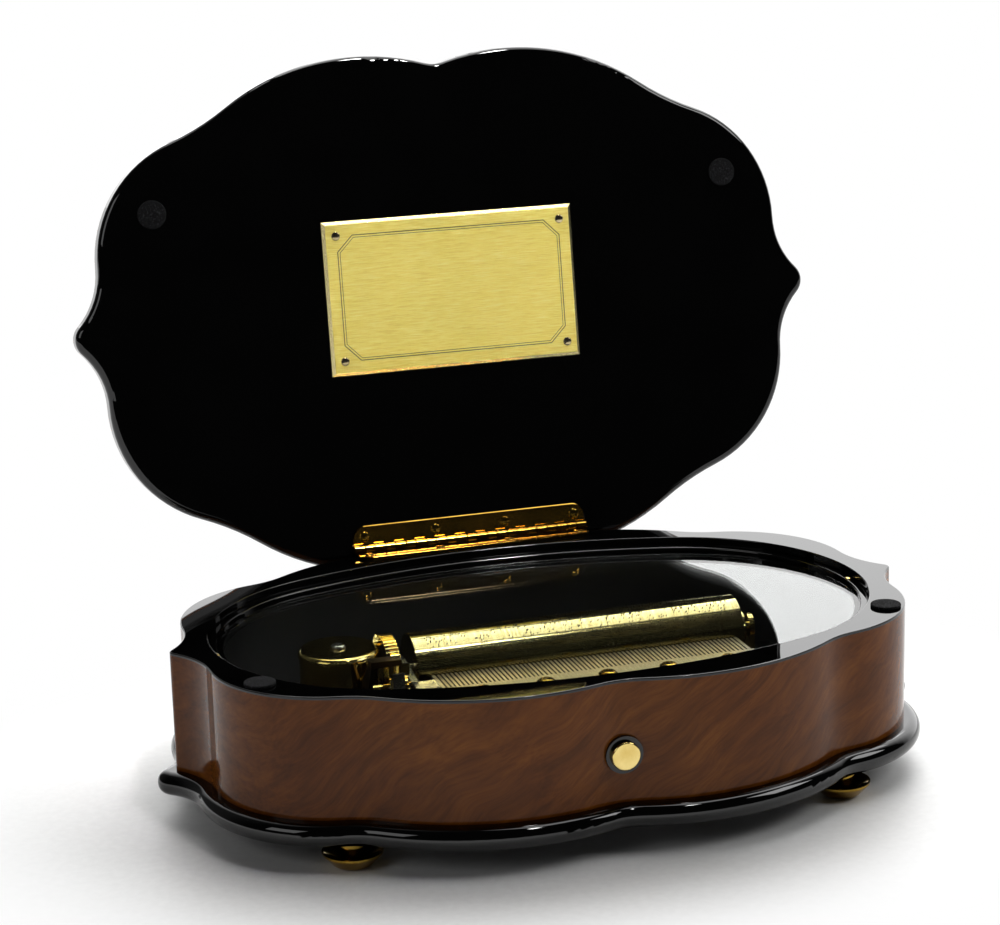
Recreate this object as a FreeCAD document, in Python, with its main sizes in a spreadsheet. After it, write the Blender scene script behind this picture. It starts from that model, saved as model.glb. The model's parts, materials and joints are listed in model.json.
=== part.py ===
import FreeCAD
import Part
import Sketcher

import math
import os
import re

# Driving dimensions in millimetres; counts and angles in degrees say so in their names.
SIZES = {
    # Scalloped plan: wall, plinth and lid share the long lobes' centres; the lid has its own corner lobes
    "long_lobe_x": 29.0,
    "long_lobe_y": 7.0,
    "long_lobe_radius": 78.2,
    "corner_lobe_x": 80.0,
    "corner_lobe_y": 23.1,
    "corner_lobe_radius": 41.3,
    "wall_half_length": 130.0,
    "wall_dip_radius": 28.0,
    "wall_notch_radius": 31.6,
    "wall_flank_radius": 31.7,
    "wall_tip_radius": 2.7,
    "plinth_overhang": 5.6,
    "plinth_half_length": 136.5,
    "plinth_dip_radius": 14.4,
    "plinth_notch_radius": 20.7,
    "plinth_flank_radius": 22.0,
    "plinth_tip_radius": 5.8,
    "lid_overhang": 9.6,
    "lid_corner_x": 83.7,
    "lid_corner_y": 25.1,
    "lid_corner_radius": 46.0,
    "lid_half_length": 139.8,
    "lid_dip_radius": 12.6,
    "lid_notch_radius": 97.0,
    "lid_flank_radius": 28.7,
    "lid_tip_radius": 7.0,
    # Heights of the case
    "foot_height": 9.0,
    "plinth_thickness": 8.0,
    "plinth_edge_radius": 3.8,
    "wall_height": 36.5,
    "rim_thickness": 5.0,
    "rim_lip": 1.0,
    "rim_edge_radius": 0.4,
    "veneer_thickness": 0.6,
    # Oval well and its glass
    "oval_half_length": 116.0,
    "oval_half_width": 74.0,
    "oval_end_radius": 66.0,
    "board_thickness": 2.0,
    "ledge_width": 5.0,
    "ledge_thickness": 2.5,
    "glass_thickness": 2.0,
    "glass_depth": 4.5,
    "moulding_width": 3.0,
    "moulding_height": 1.4,
    "glue_gap": 0.1,
    # Feet
    "foot_x": 85.0,
    "foot_y": 60.0,
    "foot_radius": 10.0,
    "foot_base_radius": 6.0,
    "foot_neck_radius": 5.0,
    "foot_lip_height": 5.1,
    "foot_lip_thickness": 0.7,
    "foot_dish_height": 2.2,
    "foot_bowl_radius": 3.4,
    # Lid
    "lid_open_degrees": 98.9,
    "lid_panel_thickness": 7.0,
    "lid_top_thickness": 5.0,
    "lid_edge_radius": 2.4,
    "lid_top_edge_radius": 4.4,
    "plaque_length": 95.4,
    "plaque_width": 56.3,
    "plaque_thickness": 1.6,
    "plaque_bevel": 1.1,
    "plaque_y": -7.3,
    "plaque_screw_x": 42.8,
    "plaque_screw_y": 22.9,
    "pad_x": 109.0,
    "pad_y": -43.0,
    "pad_radius": 5.2,
    "pad_thickness": 1.65,
    # Hinge
    "hinge_y": 85.2,
    "hinge_length": 90.0,
    "leaf_width": 8.6,
    "leaf_thickness": 1.1,
    "leaf_corner_radius": 5.0,
    "knuckle_radius": 1.6,
    "knuckle_clearance": 0.15,
    "knuckle_count": 23,
    "hinge_pin_radius": 0.7,
    "running_clearance": 0.05,
    "hinge_screw_outer_x": 40.6,
    "hinge_screw_inner_x": 13.4,
    "hinge_screw_offset": 4.6,
    # Screws
    "small_screw_head_radius": 1.9,
    "small_screw_head_height": 0.5,
    "small_screw_radius": 1.0,
    "small_screw_length": 5.0,
    "screw_dome_radius": 0.4,
    "case_screw_head_height": 0.3,
    "case_screw_length": 3.6,
    "glass_screw_head_radius": 1.2,
    "glass_screw_head_height": 0.5,
    "glass_screw_radius": 0.6,
    "glass_screw_length": 1.0,
    # Start button
    "button_drop": 24.9,
    "button_radius": 4.8,
    "button_stand": 3.2,
    "button_cap_length": 6.6,
    "button_edge_radius": 0.5,
    "button_stem_radius": 1.6,
    "bush_radius": 6.3,
    "bush_stand": 1.4,
    "bush_length": 12.2,
    "bush_end_thickness": 1.2,
    "spring_wire_radius": 0.3,
    "spring_coil_radius": 3.0,
    "spring_pitch": 1.2,
    "spring_turns": 2.0,
    # Movement bed
    "pillar_height": 2.2,
    "pillar_radius": 4.0,
    "bedplate_thickness": 2.0,
    "bedplate_left": -90.0,
    "bedplate_right": 88.0,
    "bedplate_front": -46.0,
    "bedplate_back": 28.0,
    "bedplate_corner_radius": 8.0,
    "pillar_inset": 10.0,
    # Cylinder
    "cylinder_y": 8.9,
    "cylinder_drop": 20.5,
    "cylinder_radius": 12.0,
    "cylinder_left": -45.8,
    "cylinder_length": 119.3,
    "cylinder_wall": 1.0,
    "end_cap_thickness": 1.6,
    "arbor_radius": 1.5,
    # Gears
    "gear_module": 0.5,
    "great_wheel_teeth": 50,
    "great_wheel_left": -54.5,
    "great_wheel_thickness": 3.0,
    "crown_tooth_reach": 1.5,
    "barrel_teeth": 60,
    "pinion_teeth": 15,
    "governor_wheel_teeth": 28,
    "mesh_depth": 0.7,
    # Tune cam
    "cam_radius": 6.0,
    "cam_thickness": 1.6,
    "cam_gap": 1.6,
    "cam_notch_radius": 1.2,
    # Brackets
    "left_bracket_gap": 0.9,
    "left_bracket_thickness": 2.4,
    "right_bracket_gap": 5.2,
    "right_bracket_thickness": 1.8,
    "bracket_boss_radius": 4.6,
    "bracket_foot_height": 2.2,
    "bracket_reach": 12.0,
    "bracket_arm_length": 4.0,
    "bracket_bend_radius": 4.0,
    "shelf_rise": 1.8,
    "shelf_thickness": 2.2,
    "shelf_width": 8.0,
    "shelf_end_gap": 1.0,
    "drill_start": 4.0,
    "drill_length": 20.0,
    # Comb
    "comb_teeth": 72,
    "comb_left": -41.5,
    "comb_length": 111.6,
    "comb_tooth_length": 16.0,
    "comb_depth": 30.0,
    "comb_thickness": 1.2,
    "comb_heel_thickness": 2.0,
    "comb_slot": 0.62,
    "comb_tip_gap": 0.45,
    "comb_screw_count": 5,
    "comb_screw_spacing": 22.0,
    "comb_screw_head_radius": 2.6,
    "comb_screw_head_height": 1.4,
    "comb_screw_length": 6.0,
    "comb_washer_radius": 3.6,
    "comb_washer_height": 0.6,
    # Spring barrel and winding
    "barrel_radius": 13.5,
    "barrel_wall": 0.9,
    "barrel_floor": 3.2,
    "barrel_lift": 0.4,
    "barrel_height": 22.4,
    "barrel_rim_thickness": 1.4,
    "barrel_cover_radius": 14.0,
    "barrel_cover_thickness": 2.4,
    "barrel_cover_edge_radius": 2.0,
    "mainspring_radius": 12.2,
    "mainspring_core_radius": 5.0,
    "winding_arbor_radius": 2.0,
    "arbor_cap_radius": 2.6,
    "arbor_cap_height": 1.0,
    "winding_hole_radius": 3.0,
    "key_bow_length": 24.0,
    "key_bow_height": 5.6,
    "key_bow_thickness": 2.6,
    "key_boss_radius": 3.8,
    "key_floor_gap": 1.6,
    "key_plinth_gap": 0.4,
    "ratchet_teeth": 20,
    "ratchet_radius": 7.0,
    "ratchet_tooth": 1.1,
    "ratchet_thickness": 1.3,
    "click_pivot_radius": 1.3,
    "click_gap": 0.3,
    # Governor
    "pinion_length": 3.4,
    "governor_wheel_gap": 2.9,
    "governor_wheel_thickness": 1.2,
    "governor_shaft_radius": 0.9,
    "worm_root_radius": 1.2,
    "worm_thread_height": 0.75,
    "worm_mesh_depth": 0.3,
    "worm_turns": 5.0,
    "fan_span": 5.4,
    "fan_height": 4.0,
    "fan_thickness": 0.5,
    "fan_lift": 4.6,
    "governor_post": 7.6,
    "governor_plate": 1.5,
    "governor_arm": 2.0,
    # Stop lever
    "lever_pivot_x": -30.0,
    "lever_pivot_y": -42.0,
    "lever_thickness": 1.6,
    "lever_width": 5.0,
    "lever_pin_radius": 1.2,
    "lever_contact_gap": 0.3,
    "lever_finger_gap": 0.5,
}

doc = FreeCAD.newDocument("music_box")
sheet = doc.addObject("Spreadsheet::Sheet", "Sizes")
for row, (alias, value) in enumerate(SIZES.items(), start=1):
    sheet.set(f"A{row}", alias)
    sheet.set(f"B{row}", str(value))
    sheet.setAlias(f"B{row}", alias)
doc.recompute()

# Levels and places that several pieces share, as expressions of the sizes
PLINTH_TOP = "(foot_height + plinth_thickness)"
RIM_TOP = f"({PLINTH_TOP} + wall_height + rim_thickness)"
RIM_BOTTOM = f"({PLINTH_TOP} + wall_height)"
GLASS_TOP = f"({RIM_TOP} - glass_depth)"
GLASS_BOTTOM = f"({GLASS_TOP} - glass_thickness)"
BOARD_TOP = f"({PLINTH_TOP} + board_thickness)"
BED_BOTTOM = f"({BOARD_TOP} + pillar_height)"
BED_TOP = f"({BED_BOTTOM} + bedplate_thickness)"
HINGE_Z = f"({RIM_TOP} + knuckle_radius + knuckle_clearance)"
LID_BOTTOM = f"({HINGE_Z} + knuckle_radius + knuckle_clearance)"
CYLINDER_Z = f"({RIM_TOP} - cylinder_drop)"
CYLINDER_RIGHT = "(cylinder_left + cylinder_length)"
GREAT_RADIUS = "(gear_module * great_wheel_teeth / 2)"
BARREL_PITCH_RADIUS = "(gear_module * barrel_teeth / 2)"
PINION_RADIUS = "(gear_module * pinion_teeth / 2)"
GOVERNOR_RADIUS = "(gear_module * governor_wheel_teeth / 2)"
ADDENDUM = "(0.7 * gear_module)"
DEDENDUM = "(1.2 * gear_module)"
BARREL_X = (f"(great_wheel_left - crown_tooth_reach + mesh_depth"
            f" - {BARREL_PITCH_RADIUS} - {ADDENDUM})")
BARREL_TOP = f"({BED_TOP} + barrel_lift + barrel_height)"
BUTTON_Z = f"({RIM_TOP} - button_drop)"
GOVERNOR_Y = f"(cylinder_y - {GREAT_RADIUS} - {PINION_RADIUS})"
GOVERNOR_WHEEL_X = "(great_wheel_left - governor_wheel_gap - governor_wheel_thickness)"
WORM_X = f"({GOVERNOR_WHEEL_X} + governor_wheel_thickness / 2)"
WORM_RADIUS = "(worm_root_radius + worm_thread_height)"
WORM_Y = f"({GOVERNOR_Y} - {GOVERNOR_RADIUS} - {ADDENDUM} - {WORM_RADIUS} + worm_mesh_depth)"
WORM_PITCH = "(pi * gear_module)"
COMB_BACK = "(cylinder_y - cylinder_radius - comb_tip_gap)"
COMB_FRONT = f"({COMB_BACK} - comb_depth)"
COMB_BOTTOM = f"({CYLINDER_Z} - comb_thickness / 2)"
LEVER_Z = f"({BUTTON_Z} - lever_thickness / 2)"
LEVER_FRONT = "(10 - lever_pivot_y)"
FRONT_DIP = ("(long_lobe_y + sqrt((long_lobe_radius + wall_dip_radius)^2 - long_lobe_x^2)"
             " - wall_dip_radius)")

Z_TO_X = FreeCAD.Rotation(FreeCAD.Vector(0, 1, 0), 90)
Z_TO_FRONT = FreeCAD.Rotation(FreeCAD.Vector(1, 0, 0), 90)
Z_DOWN = FreeCAD.Rotation(FreeCAD.Vector(1, 0, 0), 180)
UPRIGHT = FreeCAD.Rotation()


def bound(text):
    """The expression with every size read from the sheet."""
    return re.sub(r"[a-z][a-z_]*", lambda word: ("Sizes." if word[0] in SIZES else "") + word[0], text)


def number(text):
    """The value of an expression of the sizes."""
    result = sheet.evalExpression(text)
    return float(getattr(result, "Value", result))


def new_body(label):
    body = doc.addObject("PartDesign::Body", label)
    body.Label = label
    return body


def new_sketch(body, role, name, offset="0"):
    """A sketch on one of the body's own origin planes, moved along that plane's normal."""
    sketch = body.newObject("Sketcher::SketchObject", f"{body.Name}_{name}")
    support = next(feature for feature in body.Origin.OriginFeatures if feature.Role == role)
    sketch.AttachmentSupport = [(support, "")]
    sketch.MapMode = "FlatFace"
    sketch.setExpression("AttachmentOffset.Base.z", bound(offset))
    return sketch


def bind_constraints(sketch, rows):
    """Add constraints; each row is a constraint's arguments and the expression of its value, or None."""
    first = sketch.ConstraintCount
    sketch.addConstraint([Sketcher.Constraint(*arguments) for arguments, _ in rows])
    for index, (_, text) in enumerate(rows, start=first):
        if text is not None:
            sketch.setExpression(f"Constraints[{index}]", bound(text))


def point_rows(geometry, position, u, v):
    """Constraint rows that hold a point at u, v from the sketch's origin."""
    return [(("DistanceX", -1, 1, geometry, position, number(u)), u),
            (("DistanceY", -1, 1, geometry, position, number(v)), v)]


def polygon(sketch, corners):
    """A closed outline of straight edges; each corner is a pair of expressions."""
    first = sketch.GeometryCount
    count = len(corners)
    points = [FreeCAD.Vector(number(u), number(v), 0) for u, v in corners]
    sketch.addGeometry([Part.LineSegment(points[i], points[(i + 1) % count]) for i in range(count)])
    rows = []
    for i, (u, v) in enumerate(corners):
        rows.append((("Coincident", first + (i - 1) % count, 2, first + i, 1), None))
        rows += point_rows(first + i, 1, u, v)
    bind_constraints(sketch, rows)


def rectangle(sketch, u0, u1, v0, v1):
    polygon(sketch, [(u0, v0), (u1, v0), (u1, v1), (u0, v1)])


def circle(sketch, u, v, radius):
    index = sketch.GeometryCount
    centre = FreeCAD.Vector(number(u), number(v), 0)
    sketch.addGeometry(Part.Circle(centre, FreeCAD.Vector(0, 0, 1), number(radius)))
    bind_constraints(sketch, [(("Radius", index, number(radius)), radius)] + point_rows(index, 3, u, v))


def arc_between(centre, radius, start, end):
    """The counter-clockwise arc from the direction of start to the direction of end."""
    first = math.atan2(start.y - centre.y, start.x - centre.x)
    last = math.atan2(end.y - centre.y, end.x - centre.x)
    if last <= first:
        last += 2 * math.pi
    return Part.ArcOfCircle(Part.Circle(centre, FreeCAD.Vector(0, 0, 1), radius), first, last)


def touching_centre(first, first_reach, second, second_reach, outwards):
    """The point at both reaches from two centres, on the side that outwards points to."""
    step = second - first
    span = step.Length
    along = (first_reach ** 2 - second_reach ** 2 + span ** 2) / (2 * span)
    across = math.sqrt(first_reach ** 2 - along ** 2)
    step.normalize()
    side = FreeCAD.Vector(-step.y, step.x, 0)
    options = [first + step * along + side * across, first + step * along - side * across]
    return max(options, key=lambda point: point.dot(outwards))


def chain_of_arcs(sketch, arcs):
    """A closed tangent chain; each arc is centre, radius, convex, radius expression, centre expressions."""
    base = sketch.GeometryCount
    count = len(arcs)
    joins = []
    for i in range(count):
        here, after = arcs[i], arcs[(i + 1) % count]
        towards = after[0] - here[0]
        if here[2] and after[2] and here[1] < after[1]:
            towards = towards * -1
        towards.normalize()
        joins.append(here[0] + towards * here[1])
    rows = []
    for i, (centre, radius, convex, radius_text, place) in enumerate(arcs):
        start, end = joins[i - 1], joins[i]
        sketch.addGeometry(arc_between(centre, radius, start, end) if convex
                           else arc_between(centre, radius, end, start))
        rows.append((("Radius", base + i, radius), radius_text))
        if place:
            rows += point_rows(base + i, 3, *place)
    for i in range(count):
        here, after = arcs[i], arcs[(i + 1) % count]
        end = 2 if here[2] else 1
        start = 1 if after[2] else 2
        rows.append((("Tangent", base + i, end, base + (i + 1) % count, start), None))
    bind_constraints(sketch, rows)


def scalloped(sketch, kind, grow="0"):
    """The plan of wall, plinth or lid: tips at both ends, lobes, notches and a dip on each long side."""
    extra = "0" if kind == "wall" else f"{kind}_overhang"
    corner_size = "lid_corner_radius" if kind == "lid" else f"corner_lobe_radius + {extra}"
    corner_place = ("lid_corner_x", "lid_corner_y") if kind == "lid" else ("corner_lobe_x", "corner_lobe_y")
    text = {
        "long": f"long_lobe_radius + {extra} + {grow}",
        "corner": f"{corner_size} + {grow}",
        "tip": f"{kind}_tip_radius + {grow}",
        "dip": f"{kind}_dip_radius - ({grow})",
        "notch": f"{kind}_notch_radius - ({grow})",
        "flank": f"{kind}_flank_radius - ({grow})",
    }
    radius = {name: number(value) for name, value in text.items()}
    tip_text = f"{kind}_half_length - {kind}_tip_radius"
    long_lobe = FreeCAD.Vector(number("long_lobe_x"), number("long_lobe_y"), 0)
    corner = FreeCAD.Vector(number(corner_place[0]), number(corner_place[1]), 0)
    tip = FreeCAD.Vector(number(tip_text), 0, 0)
    reach = radius["long"] + radius["dip"]
    dip = FreeCAD.Vector(0, long_lobe.y + math.sqrt(reach ** 2 - long_lobe.x ** 2), 0)
    notch = touching_centre(long_lobe, radius["long"] + radius["notch"], corner,
                            radius["corner"] + radius["notch"], FreeCAD.Vector(0.5, 1, 0))
    flank = touching_centre(corner, radius["corner"] + radius["flank"], tip,
                            radius["tip"] + radius["flank"], FreeCAD.Vector(1, 0.3, 0))
    quarter = [("flank", flank, None), ("corner", corner, corner_place),
               ("notch", notch, None), ("long", long_lobe, ("long_lobe_x", "long_lobe_y"))]
    arcs = []

    def add(name, centre, place, across, along):
        moved = FreeCAD.Vector(centre.x * across, centre.y * along, 0)
        if place:
            place = (f"{across} * ({place[0]})", f"{along} * ({place[1]})")
        convex = name in ("long", "corner", "tip")
        arcs.append((moved, radius[name], convex, text[name], place))

    turns = [(1, 1), (-1, 1), (-1, -1), (1, -1)]
    for index, (across, along) in enumerate(turns):
        if index % 2 == 0:
            add("tip", tip, (tip_text, "0"), across, along)
        chain = quarter if index % 2 == 0 else quarter[::-1]
        for name, centre, place in chain:
            add(name, centre, place, across, along)
        if index % 2 == 0:
            add("dip", dip, None, across, along)
    chain_of_arcs(sketch, arcs)


def oval(sketch, inset="0"):
    """The four-arc oval of the well, drawn in by inset."""
    half = f"(oval_half_length - ({inset}))"
    wide = f"(oval_half_width - ({inset}))"
    end = f"(oval_end_radius - ({inset}))"
    side = f"(({half}^2 + {wide}^2 - 2 * {half} * {end}) / (2 * ({wide} - {end})))"
    end_x = number(f"{half} - {end}")
    side_y = number(f"{wide} - {side}")
    arcs = []
    for across, along in ((1, 0), (0, 1), (-1, 0), (0, -1)):
        centre = FreeCAD.Vector(across * end_x, along * side_y, 0)
        if across:
            arcs.append((centre, number(end), True, end, (f"{across} * ({half} - {end})", "0")))
        else:
            arcs.append((centre, number(side), True, side, None))
    chain_of_arcs(sketch, arcs)


def pad(body, sketch, length, reverse=False):
    feature = body.newObject("PartDesign::Pad", f"{sketch.Name}_pad")
    feature.Profile = sketch
    feature.Reversed = reverse
    feature.setExpression("Length", bound(length))
    return feature


def revolve(body, sketch):
    feature = body.newObject("PartDesign::Revolution", f"{sketch.Name}_turn")
    feature.Profile = sketch
    feature.ReferenceAxis = (sketch, ["V_Axis"])
    feature.Angle = 360
    return feature


def ring_pattern(body, originals, sketch, count):
    """Copies spread evenly round the sketch's normal."""
    feature = body.newObject("PartDesign::PolarPattern", f"{sketch.Name}_ring")
    feature.Originals = originals
    feature.Axis = (sketch, ["N_Axis"])
    feature.Angle = 360
    feature.setExpression("Occurrences", bound(count))
    body.Tip = feature
    return feature


def row_pattern(body, originals, sketch, axis, length, count):
    """Copies spread evenly over a length."""
    feature = body.newObject("PartDesign::LinearPattern", f"{sketch.Name}_row")
    feature.Originals = originals
    feature.Direction = (sketch, [axis])
    feature.setExpression("Length", bound(length))
    feature.setExpression("Occurrences", bound(count))
    body.Tip = feature
    return feature


def soften(body, radius, chosen, kind="Fillet"):
    """Round or bevel the edges that chosen picks on the body as it stands."""
    doc.recompute()
    base = body.Tip
    names = [f"Edge{i}" for i, edge in enumerate(base.Shape.Edges, start=1) if chosen(edge)]
    feature = body.newObject(f"PartDesign::{kind}", f"{body.Name}_{kind}_{len(body.Group)}")
    feature.Base = (base, names)
    feature.setExpression("Radius" if kind == "Fillet" else "Size", bound(radius))
    return feature


def level(*heights):
    """Picks edges that lie flat at one of the heights."""
    values = [number(text) for text in heights]
    return lambda edge: edge.BoundBox.ZLength < 1e-4 and any(
        abs(edge.BoundBox.ZMin - value) < 1e-4 for value in values)


def outside(chosen, reach):
    """Picks the chosen edges that come further out than reach from the Z axis."""
    limit = number(reach)
    return lambda edge: chosen(edge) and max(math.hypot(v.X, v.Y) for v in edge.Vertexes) > limit


def upright(edge):
    return edge.BoundBox.ZLength > 1e-4 and edge.BoundBox.XLength + edge.BoundBox.YLength < 1e-4


def place(piece, x="0", y="0", z="0", turn=UPRIGHT):
    piece.Placement = FreeCAD.Placement(FreeCAD.Vector(number(x), number(y), number(z)), turn)
    for axis, text in (("x", x), ("y", y), ("z", z)):
        piece.setExpression(f"Placement.Base.{axis}", bound(text))
    return piece


def turned(label, profile):
    """A piece turned about its own Z axis from corners given as radius and height."""
    body = new_body(label)
    sketch = new_sketch(body, "XZ_Plane", "profile")
    polygon(sketch, profile)
    revolve(body, sketch)
    return body


def rod(label, radius, low, high):
    return turned(label, [("0", low), (radius, low), (radius, high), ("0", high)])


def tube(label, inner, outer, low, high):
    return turned(label, [(inner, low), (outer, low), (outer, high), (inner, high)])


def primitive(kind, name, **sizes):
    piece = doc.addObject(f"Part::{kind}", name)
    for prop, text in sizes.items():
        piece.setExpression(prop, bound(text))
    return piece


def group(label, pieces):
    """Separate equal solids that share one node."""
    compound = doc.addObject("Part::Compound", label)
    compound.Label = label
    compound.Links = pieces
    return compound


def drilled(label, piece, cutters):
    """The piece with the cutters' room taken out."""
    for index, cutter in enumerate(cutters):
        result = doc.addObject("Part::Cut", f"{label}_cut_{index}")
        result.Base = piece
        result.Tool = cutter
        piece = result
    piece.Label = label
    return piece


def swing_open(piece):
    """Carry a piece drawn on the closed lid to the open lid."""
    pivot = FreeCAD.Vector(0, number("hinge_y"), number(HINGE_Z))
    opening = FreeCAD.Rotation(FreeCAD.Vector(1, 0, 0), -number("lid_open_degrees"))
    piece.Placement = FreeCAD.Placement(FreeCAD.Vector(0, 0, 0), opening, pivot)
    return piece


def corners_of(x, y):
    return [(f"{across} * ({x})", f"{along} * ({y})") for across in (-1, 1) for along in (-1, 1)]


nodes = []


def node(piece):
    nodes.append(piece)
    return piece


def domed_screw(name, head_radius="small_screw_head_radius", head_height="small_screw_head_height",
                length="small_screw_length", radius="small_screw_radius"):
    """Round-headed screw with its head's seat at height zero and its shank below."""
    body = turned(name, [("0", f"-({length})"), (radius, f"-({length})"), (radius, "0"), (head_radius, "0"),
                         (head_radius, head_height), ("0", head_height)])
    soften(body, f"{head_height} - 0.05", level(head_height))
    return body


# Case: plinth, feet, wall, veneer, rim


def base_plinth():
    """Black lacquered base moulding with a rounded edge all round."""
    body = new_body("plinth_blank")
    sketch = new_sketch(body, "XY_Plane", "plan", "foot_height")
    scalloped(sketch, "plinth")
    pad(body, sketch, "plinth_thickness")
    soften(body, "plinth_edge_radius", level("foot_height", PLINTH_TOP))
    hole = primitive("Cylinder", "plinth_hole", Radius="winding_hole_radius",
                     Height="foot_height + plinth_thickness + 1")
    place(hole, BARREL_X, "cylinder_y")
    node(drilled("base_plinth", body, [hole]))


def feet():
    """Four brass saucers, each on a neck under the plinth."""
    pieces = []
    for index, (x, y) in enumerate(corners_of("foot_x", "foot_y")):
        foot = turned(f"foot_{index}", [
            ("0", "0"), ("foot_base_radius", "0"), ("foot_radius", "foot_lip_height - foot_lip_thickness"),
            ("foot_radius", "foot_lip_height"), ("foot_radius - foot_lip_thickness", "foot_lip_height"),
            ("foot_neck_radius", "foot_dish_height"), ("foot_neck_radius", "foot_height"),
            ("0", "foot_height")])
        soften(foot, "foot_bowl_radius", outside(level("0"), "foot_base_radius - 1"))
        soften(foot, "foot_lip_thickness * 0.8",
               outside(level("foot_lip_height - foot_lip_thickness"), "foot_radius - 1"))
        pieces.append(place(foot, x, y))
    node(group("feet", pieces))


def bottom_board():
    """Thin sound board that closes the foot of the well."""
    body = new_body("board_blank")
    sketch = new_sketch(body, "XY_Plane", "plan", PLINTH_TOP)
    oval(sketch, "glue_gap")
    pad(body, sketch, "board_thickness")
    hole = primitive("Cylinder", "board_hole", Radius="winding_hole_radius", Height=f"{BOARD_TOP} + 1")
    place(hole, BARREL_X, "cylinder_y")
    node(drilled("bottom_board", body, [hole]))


def bush_hole(name):
    hole = primitive("Cylinder", name, Radius="bush_radius + running_clearance",
                     Height="oval_half_width + 40")
    return place(hole, "0", "0", BUTTON_Z, Z_TO_FRONT)


def case_wall():
    """Bent wooden wall under the veneer, with the button's hole in front."""
    body = new_body("wall_blank")
    sketch = new_sketch(body, "XY_Plane", "plan", PLINTH_TOP)
    scalloped(sketch, "wall", "-veneer_thickness")
    oval(sketch)
    pad(body, sketch, "wall_height")
    node(drilled("case_wall", body, [bush_hole("wall_button_hole")]))


def case_veneer():
    """Veneer skin from the plinth to the rim's lip."""
    body = new_body("veneer_blank")
    sketch = new_sketch(body, "XY_Plane", "plan", PLINTH_TOP)
    scalloped(sketch, "wall")
    scalloped(sketch, "wall", "-veneer_thickness")
    pad(body, sketch, "wall_height + rim_thickness - rim_lip")
    node(drilled("case_veneer", body, [bush_hole("veneer_button_hole")]))


def rim_frame():
    """Black lacquered frame with a thin lip over the veneer."""
    body = new_body("rim_frame")
    sketch = new_sketch(body, "XY_Plane", "plan", RIM_BOTTOM)
    scalloped(sketch, "wall", "-veneer_thickness")
    oval(sketch)
    pad(body, sketch, "rim_thickness - rim_lip")
    lip = new_sketch(body, "XY_Plane", "lip", f"{RIM_TOP} - rim_lip")
    scalloped(lip, "wall")
    oval(lip)
    pad(body, lip, "rim_lip")
    soften(body, "rim_edge_radius", level(RIM_TOP))
    node(body)


def oval_ring(label, outer, inner, low, height):
    body = new_body(label)
    sketch = new_sketch(body, "XY_Plane", "plan", low)
    oval(sketch, outer)
    oval(sketch, inner)
    pad(body, sketch, height)
    return node(body)


def glass():
    """Ledge, pane and the moulding that holds the pane."""
    oval_ring("glass_ledge", "glue_gap", "ledge_width", f"{GLASS_BOTTOM} - ledge_thickness",
              "ledge_thickness")
    body = new_body("glass_cover")
    sketch = new_sketch(body, "XY_Plane", "plan", GLASS_BOTTOM)
    oval(sketch, "2 * glue_gap")
    pad(body, sketch, "glass_thickness")
    node(body)
    oval_ring("glass_moulding", "glue_gap", "moulding_width", GLASS_TOP, "moulding_height")
    soften(nodes[-1], "moulding_height / 2", level(f"{GLASS_TOP} + moulding_height"))
    screws = []
    for index, side in enumerate((-1, 1)):
        screw = domed_screw(f"glass_screw_{index}", "glass_screw_head_radius", "glass_screw_head_height",
                            "glass_screw_length", "glass_screw_radius")
        x = f"{side} * (oval_half_length - moulding_width / 2)"
        place(screw, x, "0", f"{GLASS_TOP} + moulding_height")
        screws.append(screw)
    node(group("glass_screws", screws))


def felt_pads(label, low):
    pads = []
    for index, side in enumerate((-1, 1)):
        disc = rod(f"{label}_{index}", "pad_radius", "0", "pad_thickness")
        pads.append(place(disc, f"{side} * pad_x", "pad_y", low))
    return node(group(label, pads))


# Lid: panel, veneered board, plaque


def lid():
    """Two boards with the same scalloped plan, rounded inside and out."""
    panel = new_body("lid_panel")
    sketch = new_sketch(panel, "XY_Plane", "plan", LID_BOTTOM)
    scalloped(sketch, "lid")
    pad(panel, sketch, "lid_panel_thickness")
    soften(panel, "lid_edge_radius", level(LID_BOTTOM))
    top = new_body("lid_top")
    joint = f"({LID_BOTTOM} + lid_panel_thickness)"
    sketch = new_sketch(top, "XY_Plane", "plan", joint)
    scalloped(sketch, "lid")
    pad(top, sketch, "lid_top_thickness")
    soften(top, "lid_top_edge_radius", level(f"{joint} + lid_top_thickness"))
    node(swing_open(panel))
    node(swing_open(top))


def plaque():
    """Bevelled brass plate with four screws on the lid's inner face."""
    plate = new_body("plaque")
    sketch = new_sketch(plate, "XY_Plane", "plan", f"{LID_BOTTOM} - plaque_thickness")
    rectangle(sketch, "-plaque_length / 2", "plaque_length / 2", "plaque_y - plaque_width / 2",
              "plaque_y + plaque_width / 2")
    pad(plate, sketch, "plaque_thickness")
    soften(plate, "plaque_bevel", level(f"{LID_BOTTOM} - plaque_thickness"), "Chamfer")
    node(swing_open(plate))
    screws = []
    for index, (x, y) in enumerate(corners_of("plaque_screw_x", "plaque_screw_y")):
        screw = domed_screw(f"plaque_screw_{index}")
        screws.append(place(screw, x, f"plaque_y + {y}", f"{LID_BOTTOM} - plaque_thickness", Z_DOWN))
    node(swing_open(group("plaque_screws", screws)))


# Hinge


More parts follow.
